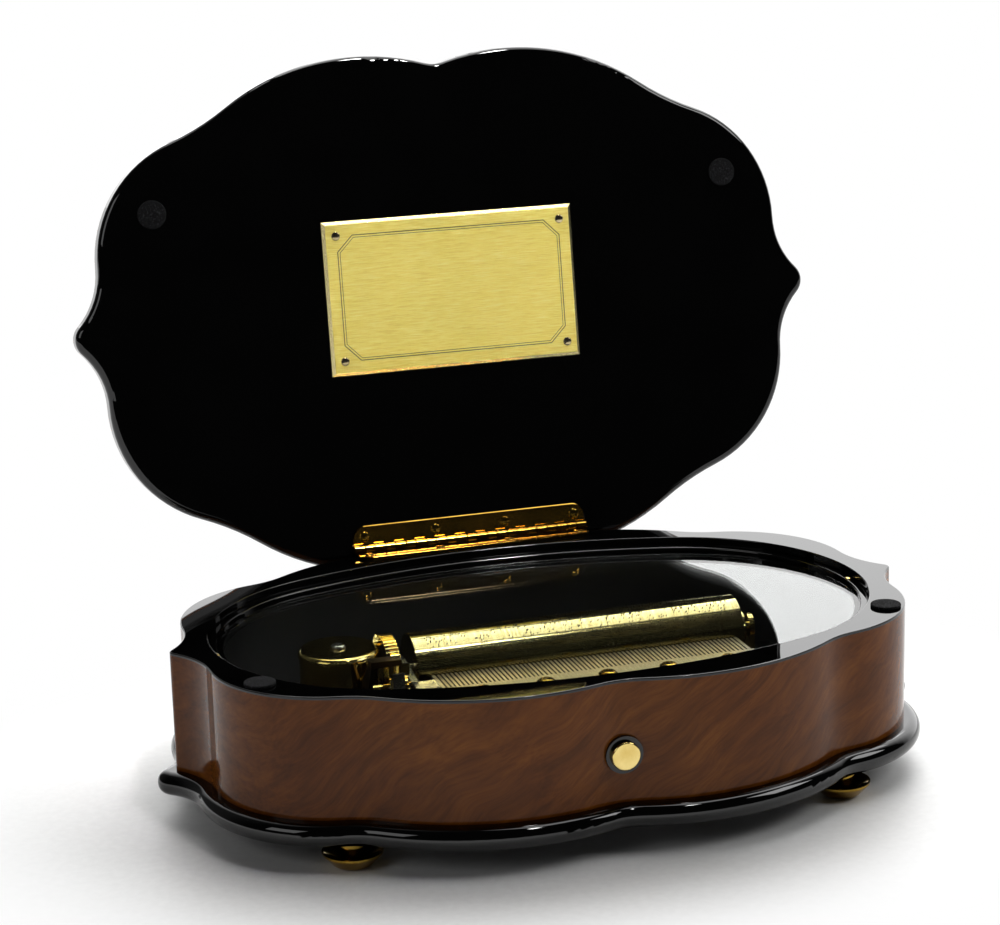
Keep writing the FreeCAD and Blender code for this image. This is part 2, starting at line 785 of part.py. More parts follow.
def hinge_leaf(label, side, first, count):
    """Flat leaf and every second knuckle; side is -1 below the pin and 1 above it."""
    body = new_body(label)
    outer = f"({HINGE_Z} + {side} * (knuckle_radius + knuckle_clearance))"
    low = outer if side < 0 else f"({outer} - leaf_thickness)"
    edge = "(hinge_y - knuckle_radius - 2 * knuckle_clearance)"
    plan = new_sketch(body, "XY_Plane", "plan", low)
    rectangle(plan, "-hinge_length / 2", "hinge_length / 2", "hinge_y - leaf_width", edge)
    pad(body, plan, "leaf_thickness")
    front = number("hinge_y - leaf_width")
    soften(body, "leaf_corner_radius", lambda line: upright(line) and abs(line.BoundBox.YMin - front) < 1e-4)
    pitch = "(hinge_length / knuckle_count)"
    start = f"(-hinge_length / 2 + {first} * {pitch} + knuckle_clearance / 2)"
    length = f"({pitch} - knuckle_clearance)"
    tab = new_sketch(body, "YZ_Plane", "tab", start)
    rectangle(tab, f"{edge} - knuckle_clearance", "hinge_y - knuckle_radius * 0.6", low,
              f"{low} + leaf_thickness")
    tab_pad = pad(body, tab, length)
    curl = new_sketch(body, "YZ_Plane", "curl", start)
    circle(curl, "hinge_y", HINGE_Z, "knuckle_radius")
    circle(curl, "hinge_y", HINGE_Z, "hinge_pin_radius + running_clearance")
    curl_pad = pad(body, curl, length)
    row_pattern(body, [tab_pad, curl_pad], curl, "N_Axis", f"2 * {pitch} * ({count} - 1)", count)
    return body


def hinge():
    """Piano hinge: its case leaf lies on the rim, its lid leaf on the lid's inner face."""
    node(hinge_leaf("hinge_leaf_case", -1, 0, "(knuckle_count + 1) / 2"))
    node(swing_open(hinge_leaf("hinge_leaf_lid", 1, 1, "(knuckle_count - 1) / 2")))
    pin = rod("hinge_pin", "hinge_pin_radius", "0", "hinge_length")
    node(place(pin, "-hinge_length / 2", "hinge_y", HINGE_Z, Z_TO_X))
    places = [f"{side} * {x}" for side in (-1, 1) for x in ("hinge_screw_outer_x", "hinge_screw_inner_x")]
    y = "hinge_y - hinge_screw_offset"
    inside = f"{LID_BOTTOM} - leaf_thickness"
    lid_screws = [place(domed_screw(f"lid_hinge_screw_{i}"), x, y, inside, Z_DOWN)
                  for i, x in enumerate(places)]
    node(swing_open(group("hinge_screws_lid", lid_screws)))
    top = f"{RIM_TOP} + leaf_thickness"
    case_screws = [place(domed_screw(f"case_hinge_screw_{i}", head_height="case_screw_head_height",
                                     length="case_screw_length"), x, y, top)
                   for i, x in enumerate(places)]
    node(group("hinge_screws_case", case_screws))


# Start button


def start_button():
    """Brass push button in a black bush, with its return spring."""
    bush_front = f"({FRONT_DIP} + bush_stand)"
    face = f"({FRONT_DIP} + button_stand)"
    back = f"({bush_front} - bush_length)"
    stem = "button_stem_radius + running_clearance"
    bush = turned("button_bush", [
        ("button_radius + running_clearance", bush_front), ("bush_radius", bush_front), ("bush_radius", back),
        (stem, back), (stem, f"{back} + bush_end_thickness"),
        ("button_radius + running_clearance", f"{back} + bush_end_thickness")])
    node(place(bush, z=BUTTON_Z, turn=Z_TO_FRONT))
    stem_end = f"({LEVER_FRONT} + lever_contact_gap)"
    button = turned("start_button", [
        ("0", stem_end), ("button_stem_radius", stem_end),
        ("button_stem_radius", f"{face} - button_cap_length"),
        ("button_radius", f"{face} - button_cap_length"), ("button_radius", face), ("0", face)])
    soften(button, "button_edge_radius", level(face))
    node(place(button, z=BUTTON_Z, turn=Z_TO_FRONT))
    spring = new_body("button_spring")
    wire = new_sketch(spring, "XZ_Plane", "wire")
    circle(wire, "spring_coil_radius", f"{back} + bush_end_thickness + spring_wire_radius + 0.02",
           "spring_wire_radius")
    coil = spring.newObject("PartDesign::AdditiveHelix", "button_spring_coil")
    coil.Profile = wire
    coil.ReferenceAxis = (wire, ["V_Axis"])
    coil.Mode = "pitch-turns-angle"
    coil.setExpression("Pitch", bound("spring_pitch"))
    coil.setExpression("Turns", bound("spring_turns"))
    node(place(spring, z=BUTTON_Z, turn=Z_TO_FRONT))
    print("button spring: gap between its turns", number("spring_pitch - 2 * spring_wire_radius"), "mm")


# Movement: bed, brackets, comb


def bed():
    """Bedplate on four pillars over the sound board."""
    plate = new_body("bedplate_blank")
    sketch = new_sketch(plate, "XY_Plane", "plan", BED_BOTTOM)
    rectangle(sketch, "bedplate_left", "bedplate_right", "bedplate_front", "bedplate_back")
    pad(plate, sketch, "bedplate_thickness")
    soften(plate, "bedplate_corner_radius", upright)
    hole = primitive("Cylinder", "bedplate_hole", Radius="winding_arbor_radius + running_clearance",
                     Height=f"{BED_TOP} + 1")
    place(hole, BARREL_X, "cylinder_y")
    node(drilled("bedplate", plate, [hole]))
    pillars = []
    for index, (x, y) in enumerate([
            ("bedplate_left + pillar_inset", "bedplate_front + pillar_inset"),
            ("bedplate_left + pillar_inset", "bedplate_back - pillar_inset / 2"),
            ("bedplate_right - pillar_inset", "bedplate_front + pillar_inset"),
            ("bedplate_right - pillar_inset", "bedplate_back - pillar_inset")]):
        pillar = rod(f"bed_pillar_{index}", "pillar_radius", "0", "pillar_height")
        pillars.append(place(pillar, x, y, BOARD_TOP))
    node(group("bedplate_pillars", pillars))


def left_bracket():
    """Polished steel bracket between great wheel and cylinder; its arm sweeps down to a shelf by the comb."""
    body = new_body("bracket_left_blank")
    x = "(great_wheel_left + great_wheel_thickness + left_bracket_gap)"
    side = new_sketch(body, "YZ_Plane", "side", x)
    boss = "bracket_boss_radius"
    front = f"({GOVERNOR_Y} - bracket_reach)"
    shelf_top = f"({CYLINDER_Z} + shelf_rise)"
    bend_y = f"({GOVERNOR_Y} - bracket_arm_length)"
    polygon(side, [
        (f"cylinder_y + {boss}", BED_TOP), (f"cylinder_y + {boss}", f"{CYLINDER_Z} + {boss} * 0.4"),
        (f"cylinder_y + {boss} * 0.4", f"{CYLINDER_Z} + {boss}"),
        (f"cylinder_y - {boss} * 0.8", f"{CYLINDER_Z} + {boss}"),
        (bend_y, shelf_top), (front, shelf_top), (front, BED_TOP)])
    pad(body, side, "left_bracket_thickness")
    bend = number(bend_y)
    soften(body, "bracket_bend_radius", lambda line: line.BoundBox.XLength > 0.1
           and abs(line.BoundBox.YMin - bend) < 1e-4 and abs(line.BoundBox.YMax - bend) < 1e-4)
    shelf = new_sketch(body, "XY_Plane", "shelf", f"{shelf_top} - shelf_thickness")
    rectangle(shelf, x, "comb_left - shelf_end_gap", front, f"{front} + shelf_width")
    pad(body, shelf, "shelf_thickness")
    holes = [bearing("left_arbor_hole", "cylinder_y", CYLINDER_Z, "arbor_radius", x),
             bearing("left_pinion_hole", GOVERNOR_Y, CYLINDER_Z, "governor_shaft_radius", x)]
    node(drilled("bracket_left", body, holes))


def bearing(name, y, z, radius, x):
    """A running hole along X, started a little before x."""
    hole = primitive("Cylinder", name, Radius=f"{radius} + running_clearance", Height="drill_length")
    return place(hole, f"{x} - drill_start", y, z, Z_TO_X)


def right_bracket():
    """Arched brass bracket that carries the right end of the arbor."""
    body = new_body("bracket_right_blank")
    x = f"({CYLINDER_RIGHT} + right_bracket_gap)"
    side = new_sketch(body, "YZ_Plane", "side", x)
    boss = "bracket_boss_radius"
    polygon(side, [
        (f"cylinder_y + 2.2 * {boss}", BED_TOP),
        (f"cylinder_y + 2 * {boss}", f"{BED_TOP} + bracket_foot_height"),
        (f"cylinder_y + 0.9 * {boss}", f"{BED_TOP} + 2.5 * bracket_foot_height"),
        (f"cylinder_y + 0.9 * {boss}", CYLINDER_Z), (f"cylinder_y - 0.9 * {boss}", CYLINDER_Z),
        (f"cylinder_y - 0.9 * {boss}", f"{BED_TOP} + 2.5 * bracket_foot_height"),
        (f"cylinder_y - 2 * {boss}", f"{BED_TOP} + bracket_foot_height"),
        (f"cylinder_y - 2.2 * {boss}", BED_TOP)])
    pad(body, side, "right_bracket_thickness")
    crown = new_sketch(body, "YZ_Plane", "crown", x)
    circle(crown, "cylinder_y", CYLINDER_Z, boss)
    pad(body, crown, "right_bracket_thickness")
    hole = bearing("right_arbor_hole", "cylinder_y", CYLINDER_Z, "arbor_radius", x)
    node(drilled("bracket_right", body, [hole]))


def comb():
    """Steel comb, its brass bar and its screws with washers."""
    body = new_body("comb")
    pitch = "(comb_length / comb_teeth)"
    plan = new_sketch(body, "XY_Plane", "plan", COMB_BOTTOM)
    rectangle(plan, "comb_left", "comb_left + comb_length", COMB_FRONT, COMB_BACK)
    pad(body, plan, "comb_thickness")
    heel = new_sketch(body, "XY_Plane", "heel", COMB_BOTTOM)
    rectangle(heel, "comb_left", "comb_left + comb_length", COMB_FRONT, f"{COMB_BACK} - comb_tooth_length")
    pad(body, heel, "comb_heel_thickness")
    doc.recompute()
    slot = new_sketch(body, "XY_Plane", "slot", COMB_BOTTOM)
    middle = f"(comb_left + {pitch})"
    rectangle(slot, f"{middle} - comb_slot / 2", f"{middle} + comb_slot / 2",
              f"{COMB_BACK} - comb_tooth_length", f"{COMB_BACK} + 1")
    gap = body.newObject("PartDesign::Pocket", "comb_slot_cut")
    gap.Profile = slot
    gap.Reversed = True
    gap.setExpression("Length", bound("comb_thickness"))
    row_pattern(body, [gap], slot, "H_Axis", f"comb_length - 2 * {pitch}", "comb_teeth - 1")
    node(body)
    bar = primitive("Box", "comb_bar", Length="comb_length", Width="comb_depth - comb_tooth_length - 1",
                    Height=f"{COMB_BOTTOM} - {BED_TOP}")
    node(place(bar, "comb_left", COMB_FRONT, BED_TOP))
    screws = []
    centre = "comb_left + comb_length / 2"
    for index in range(int(number("comb_screw_count"))):
        screw = turned(f"comb_screw_{index}", [
            ("0", "-comb_screw_length"), ("small_screw_radius", "-comb_screw_length"),
            ("small_screw_radius", "0"), ("comb_washer_radius", "0"),
            ("comb_washer_radius", "comb_washer_height"), ("comb_screw_head_radius", "comb_washer_height"),
            ("comb_screw_head_radius", "comb_washer_height + comb_screw_head_height"),
            ("0", "comb_washer_height + comb_screw_head_height")])
        soften(screw, "screw_dome_radius", level("comb_washer_height + comb_screw_head_height"))
        x = f"{centre} + ({index} - (comb_screw_count - 1) / 2) * comb_screw_spacing"
        y = f"{COMB_FRONT} + (comb_depth - comb_tooth_length) / 2"
        screws.append(place(screw, x, y, f"{COMB_BOTTOM} + comb_heel_thickness"))
    node(group("comb_screws", screws))


# Gears


def tooth(body, name, pitch_radius, low, length, phase="0"):
    """One straight-sided tooth with play at both flanks, at the angle phase from the body's +X side."""
    root = f"({pitch_radius} - {DEDENDUM} - 0.05)"
    tip = f"({pitch_radius} + {ADDENDUM})"
    foot_half = "(0.27 * pi * gear_module)"
    tip_half = "(0.11 * pi * gear_module)"
    sketch = new_sketch(body, "XY_Plane", name, low)
    turn = FreeCAD.Rotation(FreeCAD.Vector(0, 0, 1), number(phase))
    sketch.AttachmentOffset = FreeCAD.Placement(FreeCAD.Vector(0, 0, number(low)), turn)
    polygon(sketch, [(root, f"-{foot_half}"), (tip, f"-{tip_half}"), (tip, tip_half), (root, foot_half)])
    return sketch, pad(body, sketch, length)


def cylinder():
    """Pinned drum, end caps and tune cam, which slide together along the arbor."""
    drum = tube("cylinder_drum", "cylinder_radius - cylinder_wall", "cylinder_radius", "0", "cylinder_length")
    node(place(drum, "cylinder_left", "cylinder_y", CYLINDER_Z, Z_TO_X))
    caps = []
    for index, start in enumerate(("0", "cylinder_length - end_cap_thickness")):
        cap = tube(f"end_cap_{index}", "arbor_radius + running_clearance", "cylinder_radius - cylinder_wall",
                   start, f"{start} + end_cap_thickness")
        caps.append(place(cap, "cylinder_left", "cylinder_y", CYLINDER_Z, Z_TO_X))
    node(group("cylinder_end_caps", caps))
    cam = new_body("tune_cam")
    disc = new_sketch(cam, "XY_Plane", "disc")
    circle(disc, "0", "0", "cam_radius")
    circle(disc, "0", "0", "arbor_radius + running_clearance")
    pad(cam, disc, "cam_thickness")
    hub = new_sketch(cam, "XY_Plane", "hub")
    circle(hub, "0", "0", "cam_radius / 2")
    circle(hub, "0", "0", "arbor_radius + running_clearance")
    pad(cam, hub, "cam_gap", True)
    doc.recompute()
    notch = new_sketch(cam, "XY_Plane", "notch")
    circle(notch, "cam_radius", "0", "cam_notch_radius")
    cut = cam.newObject("PartDesign::Pocket", "tune_cam_notch_cut")
    cut.Profile = notch
    cut.Reversed = True
    cut.setExpression("Length", bound("cam_thickness"))
    ring_pattern(cam, [cut], notch, "3")
    node(place(cam, f"{CYLINDER_RIGHT} + cam_gap", "cylinder_y", CYLINDER_Z, Z_TO_X))


def arbor():
    """Steel arbor with the great wheel fixed at its left end."""
    right = f"({CYLINDER_RIGHT} + right_bracket_gap + right_bracket_thickness)"
    shaft = rod("cylinder_arbor", "arbor_radius", "0", f"{right} - great_wheel_left")
    node(place(shaft, "great_wheel_left", "cylinder_y", CYLINDER_Z, Z_TO_X))
    wheel = new_body("great_wheel")
    disc = new_sketch(wheel, "XY_Plane", "disc")
    circle(disc, "0", "0", f"{GREAT_RADIUS} - {DEDENDUM}")
    circle(disc, "0", "0", "arbor_radius")
    pad(wheel, disc, "great_wheel_thickness")
    sketch, first = tooth(wheel, "tooth", GREAT_RADIUS, "-crown_tooth_reach",
                          "great_wheel_thickness + crown_tooth_reach")
    ring_pattern(wheel, [first], sketch, "great_wheel_teeth")
    node(place(wheel, "great_wheel_left", "cylinder_y", CYLINDER_Z, Z_TO_X))


def barrel():
    """Spring barrel with a toothed rim, its cover and the mainspring inside."""
    body = new_body("spring_barrel")
    profile = new_sketch(body, "XZ_Plane", "profile")
    bore = "winding_arbor_radius + running_clearance"
    low = f"({BED_TOP} + barrel_lift)"
    rim_low = f"({CYLINDER_Z} - {GREAT_RADIUS} - barrel_rim_thickness / 2)"
    rim_high = f"({rim_low} + barrel_rim_thickness)"
    root = f"{BARREL_PITCH_RADIUS} - {DEDENDUM}"
    polygon(profile, [
        (bore, low), ("barrel_radius", low), ("barrel_radius", rim_low), (root, rim_low), (root, rim_high),
        ("barrel_radius", rim_high), ("barrel_radius", BARREL_TOP),
        ("barrel_radius - barrel_wall", BARREL_TOP),
        ("barrel_radius - barrel_wall", f"{low} + barrel_floor"), (bore, f"{low} + barrel_floor")])
    revolve(body, profile)
    sketch, first = tooth(body, "tooth", BARREL_PITCH_RADIUS, rim_low, "barrel_rim_thickness",
                          "180 / barrel_teeth")
    ring_pattern(body, [first], sketch, "barrel_teeth")
    node(place(body, BARREL_X, "cylinder_y"))
    top = f"({BARREL_TOP} + barrel_cover_thickness)"
    cover = tube("barrel_cover", bore, "barrel_cover_radius", BARREL_TOP, top)
    soften(cover, "barrel_cover_edge_radius", outside(level(top), "barrel_cover_radius - 1"))
    node(place(cover, BARREL_X, "cylinder_y"))
    spring = tube("mainspring", "mainspring_core_radius", "mainspring_radius", f"{low} + barrel_floor",
                  BARREL_TOP)
    node(place(spring, BARREL_X, "cylinder_y"))


def winding():
    """Barrel arbor, the key on its lower end, ratchet wheel and click."""
    bottom = "(foot_height - key_plinth_gap)"
    cover_top = f"({BARREL_TOP} + barrel_cover_thickness + knuckle_clearance)"
    shaft = turned("winding_arbor", [
        ("0", bottom), ("winding_arbor_radius", bottom), ("winding_arbor_radius", cover_top),
        ("arbor_cap_radius", cover_top), ("arbor_cap_radius", f"{cover_top} + arbor_cap_height"),
        ("0", f"{cover_top} + arbor_cap_height")])
    soften(shaft, "arbor_cap_height * 0.9", level(f"{cover_top} + arbor_cap_height"))
    node(place(shaft, BARREL_X, "cylinder_y"))
    key = new_body("winding_key")
    boss = new_sketch(key, "XY_Plane", "boss", "key_floor_gap + key_bow_height / 2")
    circle(boss, "0", "0", "key_boss_radius")
    pad(key, boss, f"{bottom} - key_floor_gap - key_bow_height / 2")
    bow = new_sketch(key, "XY_Plane", "bow", "key_floor_gap")
    rectangle(bow, "-key_bow_length / 2", "key_bow_length / 2", "-key_bow_thickness / 2",
              "key_bow_thickness / 2")
    pad(key, bow, "key_bow_height")
    ends = number("key_bow_length / 2")
    soften(key, "key_bow_height * 0.45", lambda line: abs(abs(line.BoundBox.Center.x) - ends) < 1e-4
           and line.BoundBox.YLength > 0.1)
    node(place(key, BARREL_X, "cylinder_y"))
    wheel = new_body("ratchet_wheel")
    low = f"({BOARD_TOP} + 0.4)"
    disc = new_sketch(wheel, "XY_Plane", "disc", low)
    circle(disc, "0", "0", "ratchet_radius")
    circle(disc, "0", "0", "winding_arbor_radius")
    pad(wheel, disc, "ratchet_thickness")
    saw = new_sketch(wheel, "XY_Plane", "saw", low)
    polygon(saw, [("ratchet_radius - 0.4", "-ratchet_tooth"), ("ratchet_radius + ratchet_tooth", "0"),
                  ("ratchet_radius - 0.4", "0")])
    first = pad(wheel, saw, "ratchet_thickness")
    ring_pattern(wheel, [first], saw, "ratchet_teeth")
    node(place(wheel, BARREL_X, "cylinder_y"))
    click = new_body("click")
    plan = new_sketch(click, "XY_Plane", "plan", low)
    tip = "ratchet_radius + ratchet_tooth + click_gap"
    polygon(plan, [(tip, "-0.8"), (f"{tip} + 2", "-1"), (f"{tip} + 3.4", "6"), (f"{tip} + 3.4", "9"),
                   (f"{tip} - 0.2", "9"), (f"{tip} + 0.4", "4")])
    circle(plan, f"{tip} + 1.6", "7.2", "click_pivot_radius + running_clearance")
    pad(click, plan, "ratchet_thickness")
    node(place(click, BARREL_X, "cylinder_y"))
    stud = rod("click_stud", "click_pivot_radius", low, BED_BOTTOM)
    node(place(stud, f"{BARREL_X} + {tip} + 1.6", "cylinder_y + 7.2"))


def governor():
    """Frame, wheel with pinion, and the endless screw with its fan."""
    wheel = new_body("governor_wheel")
    shaft = new_sketch(wheel, "XY_Plane", "shaft", f"{GOVERNOR_WHEEL_X} - governor_post")
    circle(shaft, "0", "0", "governor_shaft_radius")
    right = "(great_wheel_left + great_wheel_thickness + left_bracket_gap + left_bracket_thickness)"
    pad(wheel, shaft, f"{right} - {GOVERNOR_WHEEL_X} + governor_post")
    disc = new_sketch(wheel, "XY_Plane", "disc", GOVERNOR_WHEEL_X)
    circle(disc, "0", "0", f"{GOVERNOR_RADIUS} - {DEDENDUM}")
    pad(wheel, disc, "governor_wheel_thickness")
    sketch, first = tooth(wheel, "tooth", GOVERNOR_RADIUS, GOVERNOR_WHEEL_X, "governor_wheel_thickness",
                          "270")
    ring_pattern(wheel, [first], sketch, "governor_wheel_teeth")
    leaf_low = "(great_wheel_left - (pinion_length - great_wheel_thickness) / 2)"
    core = new_sketch(wheel, "XY_Plane", "core", leaf_low)
    circle(core, "0", "0", f"{PINION_RADIUS} - {DEDENDUM}")
    pad(wheel, core, "pinion_length")
    sketch, first = tooth(wheel, "leaf", PINION_RADIUS, leaf_low, "pinion_length",
                          "90 + (0.75 * great_wheel_teeth - 0.5) * 360 / pinion_teeth")
    ring_pattern(wheel, [first], sketch, "pinion_teeth")
    node(place(wheel, "0", GOVERNOR_Y, CYLINDER_Z, Z_TO_X))

    worm = new_body("governor_worm")
    half = f"(worm_turns * {WORM_PITCH} / 2)"
    core = new_sketch(worm, "XZ_Plane", "core")
    top = f"({CYLINDER_Z} + {GOVERNOR_RADIUS} + fan_lift)"
    polygon(core, [
        ("0", f"{BED_TOP} + 0.6"), ("governor_shaft_radius", f"{BED_TOP} + 0.6"),
        ("governor_shaft_radius", f"{CYLINDER_Z} - {half} - 1"),
        ("worm_root_radius", f"{CYLINDER_Z} - {half} - 1"),
        ("worm_root_radius", f"{CYLINDER_Z} + {half} + 1"),
        ("governor_shaft_radius", f"{CYLINDER_Z} + {half} + 1"), ("governor_shaft_radius", top), ("0", top)])
    revolve(worm, core)
    thread = new_sketch(worm, "XZ_Plane", "thread")
    base = f"({CYLINDER_Z} - {half} - {WORM_PITCH} / 4)"
    polygon(thread, [
        ("worm_root_radius - 0.1", f"{base} - 0.3 * {WORM_PITCH}"),
        (WORM_RADIUS, f"{base} - 0.12 * {WORM_PITCH}"),
        (WORM_RADIUS, f"{base} + 0.12 * {WORM_PITCH}"),
        ("worm_root_radius - 0.1", f"{base} + 0.3 * {WORM_PITCH}")])
    helix = worm.newObject("PartDesign::AdditiveHelix", "governor_worm_helix")
    helix.Profile = thread
    helix.ReferenceAxis = (thread, ["V_Axis"])
    helix.Mode = "pitch-turns-angle"
    helix.setExpression("Pitch", bound(WORM_PITCH))
    helix.setExpression("Turns", bound("worm_turns"))
    node(place(worm, WORM_X, WORM_Y))

    fan = new_body("air_fan_blank")
    blade = new_sketch(fan, "XY_Plane", "blade", f"{top} - fan_height - 1")
    rectangle(blade, "-fan_span", "fan_span", "-fan_thickness / 2", "fan_thickness / 2")
    pad(fan, blade, "fan_height")
    hub = new_sketch(fan, "XY_Plane", "hub", f"{top} - fan_height - 1")
    circle(hub, "0", "0", "2 * governor_shaft_radius")
    pad(fan, hub, "fan_height")
    core_hole = primitive("Cylinder", "fan_hole", Radius="governor_shaft_radius", Height=f"{top} + 2")
    blank = drilled("air_fan", fan, [core_hole])
    node(place(blank, WORM_X, WORM_Y))

    frame = new_body("governor_frame_blank")
    left = f"({GOVERNOR_WHEEL_X} - governor_post)"
    arm_low = f"({top} - 0.6)"
    arm_high = f"({arm_low} + governor_arm)"
    side = new_sketch(frame, "YZ_Plane", "side", left)
    polygon(side, [
        (f"{GOVERNOR_Y} + 1.2", BED_TOP), (f"{GOVERNOR_Y} + 1.8", f"{CYLINDER_Z} + 2.4"),
        (f"{WORM_Y} + 2.4", arm_low), (f"{WORM_Y} + 2.4", arm_high), (f"{WORM_Y} - 2.4", arm_high),
        (f"{WORM_Y} - 2.4", arm_low), (f"{GOVERNOR_Y} - 4", f"{CYLINDER_Z} - 2"),
        (f"{WORM_Y} - 4", f"{BED_TOP} + 3"), (f"{WORM_Y} - 4", BED_TOP)])
    pad(frame, side, "governor_plate")
    for name, low, height in (("arm", arm_low, "governor_arm"), ("foot", BED_TOP, "bracket_foot_height")):
        flat = new_sketch(frame, "XY_Plane", name, low)
        rectangle(flat, left, f"{WORM_X} + 2.4", f"{WORM_Y} - 2.4", f"{WORM_Y} + 2.4")
        pad(frame, flat, height)
    pivot_hole = primitive("Cylinder", "worm_pivot_hole", Radius="governor_shaft_radius + running_clearance",
                           Height=f"{top} - {BED_TOP}")
    place(pivot_hole, WORM_X, WORM_Y, f"{BED_TOP} + 0.4")
    shaft_hole = bearing("governor_pinion_hole", GOVERNOR_Y, CYLINDER_Z, "governor_shaft_radius", left)
    node(drilled("governor_frame", frame, [pivot_hole, shaft_hole]))


def stop_lever():
    """Lever between the button's stem and the fan, on its pivot post."""
    lever = new_body("stop_lever_blank")
    plan = new_sketch(lever, "XY_Plane", "plan", LEVER_Z)
    finger_y = f"({WORM_Y} - fan_span - lever_finger_gap)"
    polygon(plan, [
        ("4", f"-{LEVER_FRONT}"), ("4", f"lever_width - {LEVER_FRONT}"),
        ("lever_pivot_x + 3", "lever_pivot_y + lever_width / 2 + 0.5"),
        ("lever_pivot_x - 14", "lever_pivot_y + lever_width / 2 + 1.5"),
        (f"{WORM_X} + 2", finger_y), (f"{WORM_X} - 2", finger_y),
        (f"{WORM_X} - 2", f"{finger_y} - 2"), ("lever_pivot_x - 16", "lever_pivot_y - 2"),
        ("lever_pivot_x", "lever_pivot_y - lever_width / 2"), ("-4", f"-{LEVER_FRONT}")])
    pad(lever, plan, "lever_thickness")
    finger = new_sketch(lever, "XY_Plane", "finger", LEVER_Z)
    rectangle(finger, f"{WORM_X} - 2", f"{WORM_X} + 2", f"{finger_y} - 1.2", finger_y)
    pad(lever, finger, f"{CYLINDER_Z} + {GOVERNOR_RADIUS} + fan_lift - {LEVER_Z} - 2")
    hole = primitive("Cylinder", "lever_hole", Radius="lever_pin_radius + running_clearance", Height=RIM_TOP)
    place(hole, "lever_pivot_x", "lever_pivot_y")
    node(drilled("stop_lever", lever, [hole]))
    post = turned("stop_lever_post", [
        ("0", BED_TOP), ("2.4 * lever_pin_radius", BED_TOP), ("2.4 * lever_pin_radius", f"{LEVER_Z} - 0.1"),
        ("lever_pin_radius", f"{LEVER_Z} - 0.1"), ("lever_pin_radius", f"{LEVER_Z} + lever_thickness + 0.1"),
        ("1.8 * lever_pin_radius", f"{LEVER_Z} + lever_thickness + 0.1"),
        ("1.8 * lever_pin_radius", f"{LEVER_Z} + lever_thickness + 0.9"),
        ("0", f"{LEVER_Z} + lever_thickness + 0.9")])
    node(place(post, "lever_pivot_x", "lever_pivot_y"))


base_plinth()
feet()
bottom_board()
case_wall()
case_veneer()
rim_frame()
glass()
felt_pads("rim_felt_pads", RIM_TOP)
lid()
plaque()
swing_open(felt_pads("lid_felt_pads", f"{LID_BOTTOM} - pad_thickness"))
hinge()
start_button()
bed()
left_bracket()
right_bracket()
comb()
cylinder()
arbor()
barrel()
winding()
governor()
stop_lever()
doc.recompute()

for piece in doc.Objects:
    if "Invalid" in piece.State or "Error" in piece.State:
        raise RuntimeError(f"{piece.Label} failed: {piece.State}")
for piece in nodes:
    if piece.Shape.isNull() or not piece.Shape.isValid():
        raise RuntimeError(f"{piece.Label} has no valid shape")
os.makedirs("parts", exist_ok=True)
for piece in nodes:
    piece.Shape.exportStep(f"parts/{piece.Label}.step")
print(len(nodes), "pieces written")
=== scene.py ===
import bpy
import bmesh
import json
import math
import random
from mathutils import Matrix, Vector


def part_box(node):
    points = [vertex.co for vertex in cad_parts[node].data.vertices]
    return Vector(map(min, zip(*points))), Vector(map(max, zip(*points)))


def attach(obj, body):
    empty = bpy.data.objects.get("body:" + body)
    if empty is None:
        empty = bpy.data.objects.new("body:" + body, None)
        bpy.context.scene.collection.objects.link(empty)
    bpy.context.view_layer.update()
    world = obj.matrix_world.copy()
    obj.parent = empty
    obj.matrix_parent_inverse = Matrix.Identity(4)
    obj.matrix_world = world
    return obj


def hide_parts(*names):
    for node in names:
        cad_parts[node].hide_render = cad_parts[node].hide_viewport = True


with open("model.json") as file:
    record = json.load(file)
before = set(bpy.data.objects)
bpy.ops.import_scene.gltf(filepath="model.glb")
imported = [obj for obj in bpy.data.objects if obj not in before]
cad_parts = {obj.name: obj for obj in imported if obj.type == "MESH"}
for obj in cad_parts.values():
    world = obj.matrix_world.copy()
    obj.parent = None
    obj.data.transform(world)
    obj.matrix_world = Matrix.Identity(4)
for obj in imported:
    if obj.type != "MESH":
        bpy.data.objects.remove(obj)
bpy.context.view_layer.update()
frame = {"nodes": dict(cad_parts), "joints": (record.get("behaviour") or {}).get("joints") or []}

MM = 0.001


def corners(node):
    """A CAD node's lowest and highest corners at rest, in millimetres."""
    return [[c / MM for c in corner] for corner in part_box(node)]


JOINTS = {joint["name"]: joint for joint in frame["joints"]}

# Places read from the frame, in millimetres, and the lid's opening in degrees
HINGE_Y, HINGE_Z = [c / MM for c in JOINTS["lid_hinge"]["pos_m"][1:]]
LID_OPEN = JOINTS["lid_hinge"]["range_deg"][1]
RIM_TOP = corners("rim_frame")[1][2]
DRUM_Y, DRUM_Z = [c / MM for c in JOINTS["cylinder_turn"]["pos_m"][1:]]
DRUM_RADIUS = corners("cylinder_drum")[1][2] - DRUM_Z
COMB_LEFT = corners("comb")[0][0]
COMB_LENGTH = corners("comb")[1][0] - COMB_LEFT
COMB_TOP = corners("comb")[1][2]

# Places on the closed lid, in millimetres
LID_FACE = 62.0
PLAQUE_FACE = 60.4
PLAQUE_LENGTH, PLAQUE_WIDTH, PLAQUE_Y = 95.4, 56.3, -7.3
PLAQUE_SCREW_X, PLAQUE_SCREW_Y = 42.8, 22.9

# Places on the case, and on both leaves of the hinge, in millimetres
LEAF_THICKNESS, LEAF_SCREW_INSET = 1.1, 4.6
LEAF_SCREWS_X = (-40.6, -13.4, 13.4, 40.6)
COMB_TEETH = 72
COMB_SCREWS, COMB_SCREW_PITCH, COMB_SCREW_Y = 5, 22.0, -26.55
GLASS_SCREW_X, GLASS_SCREW_SEAT = 114.5, 55.4
PAD_X, PAD_Y, PAD_RADIUS = 109.0, -43.0, 5.2

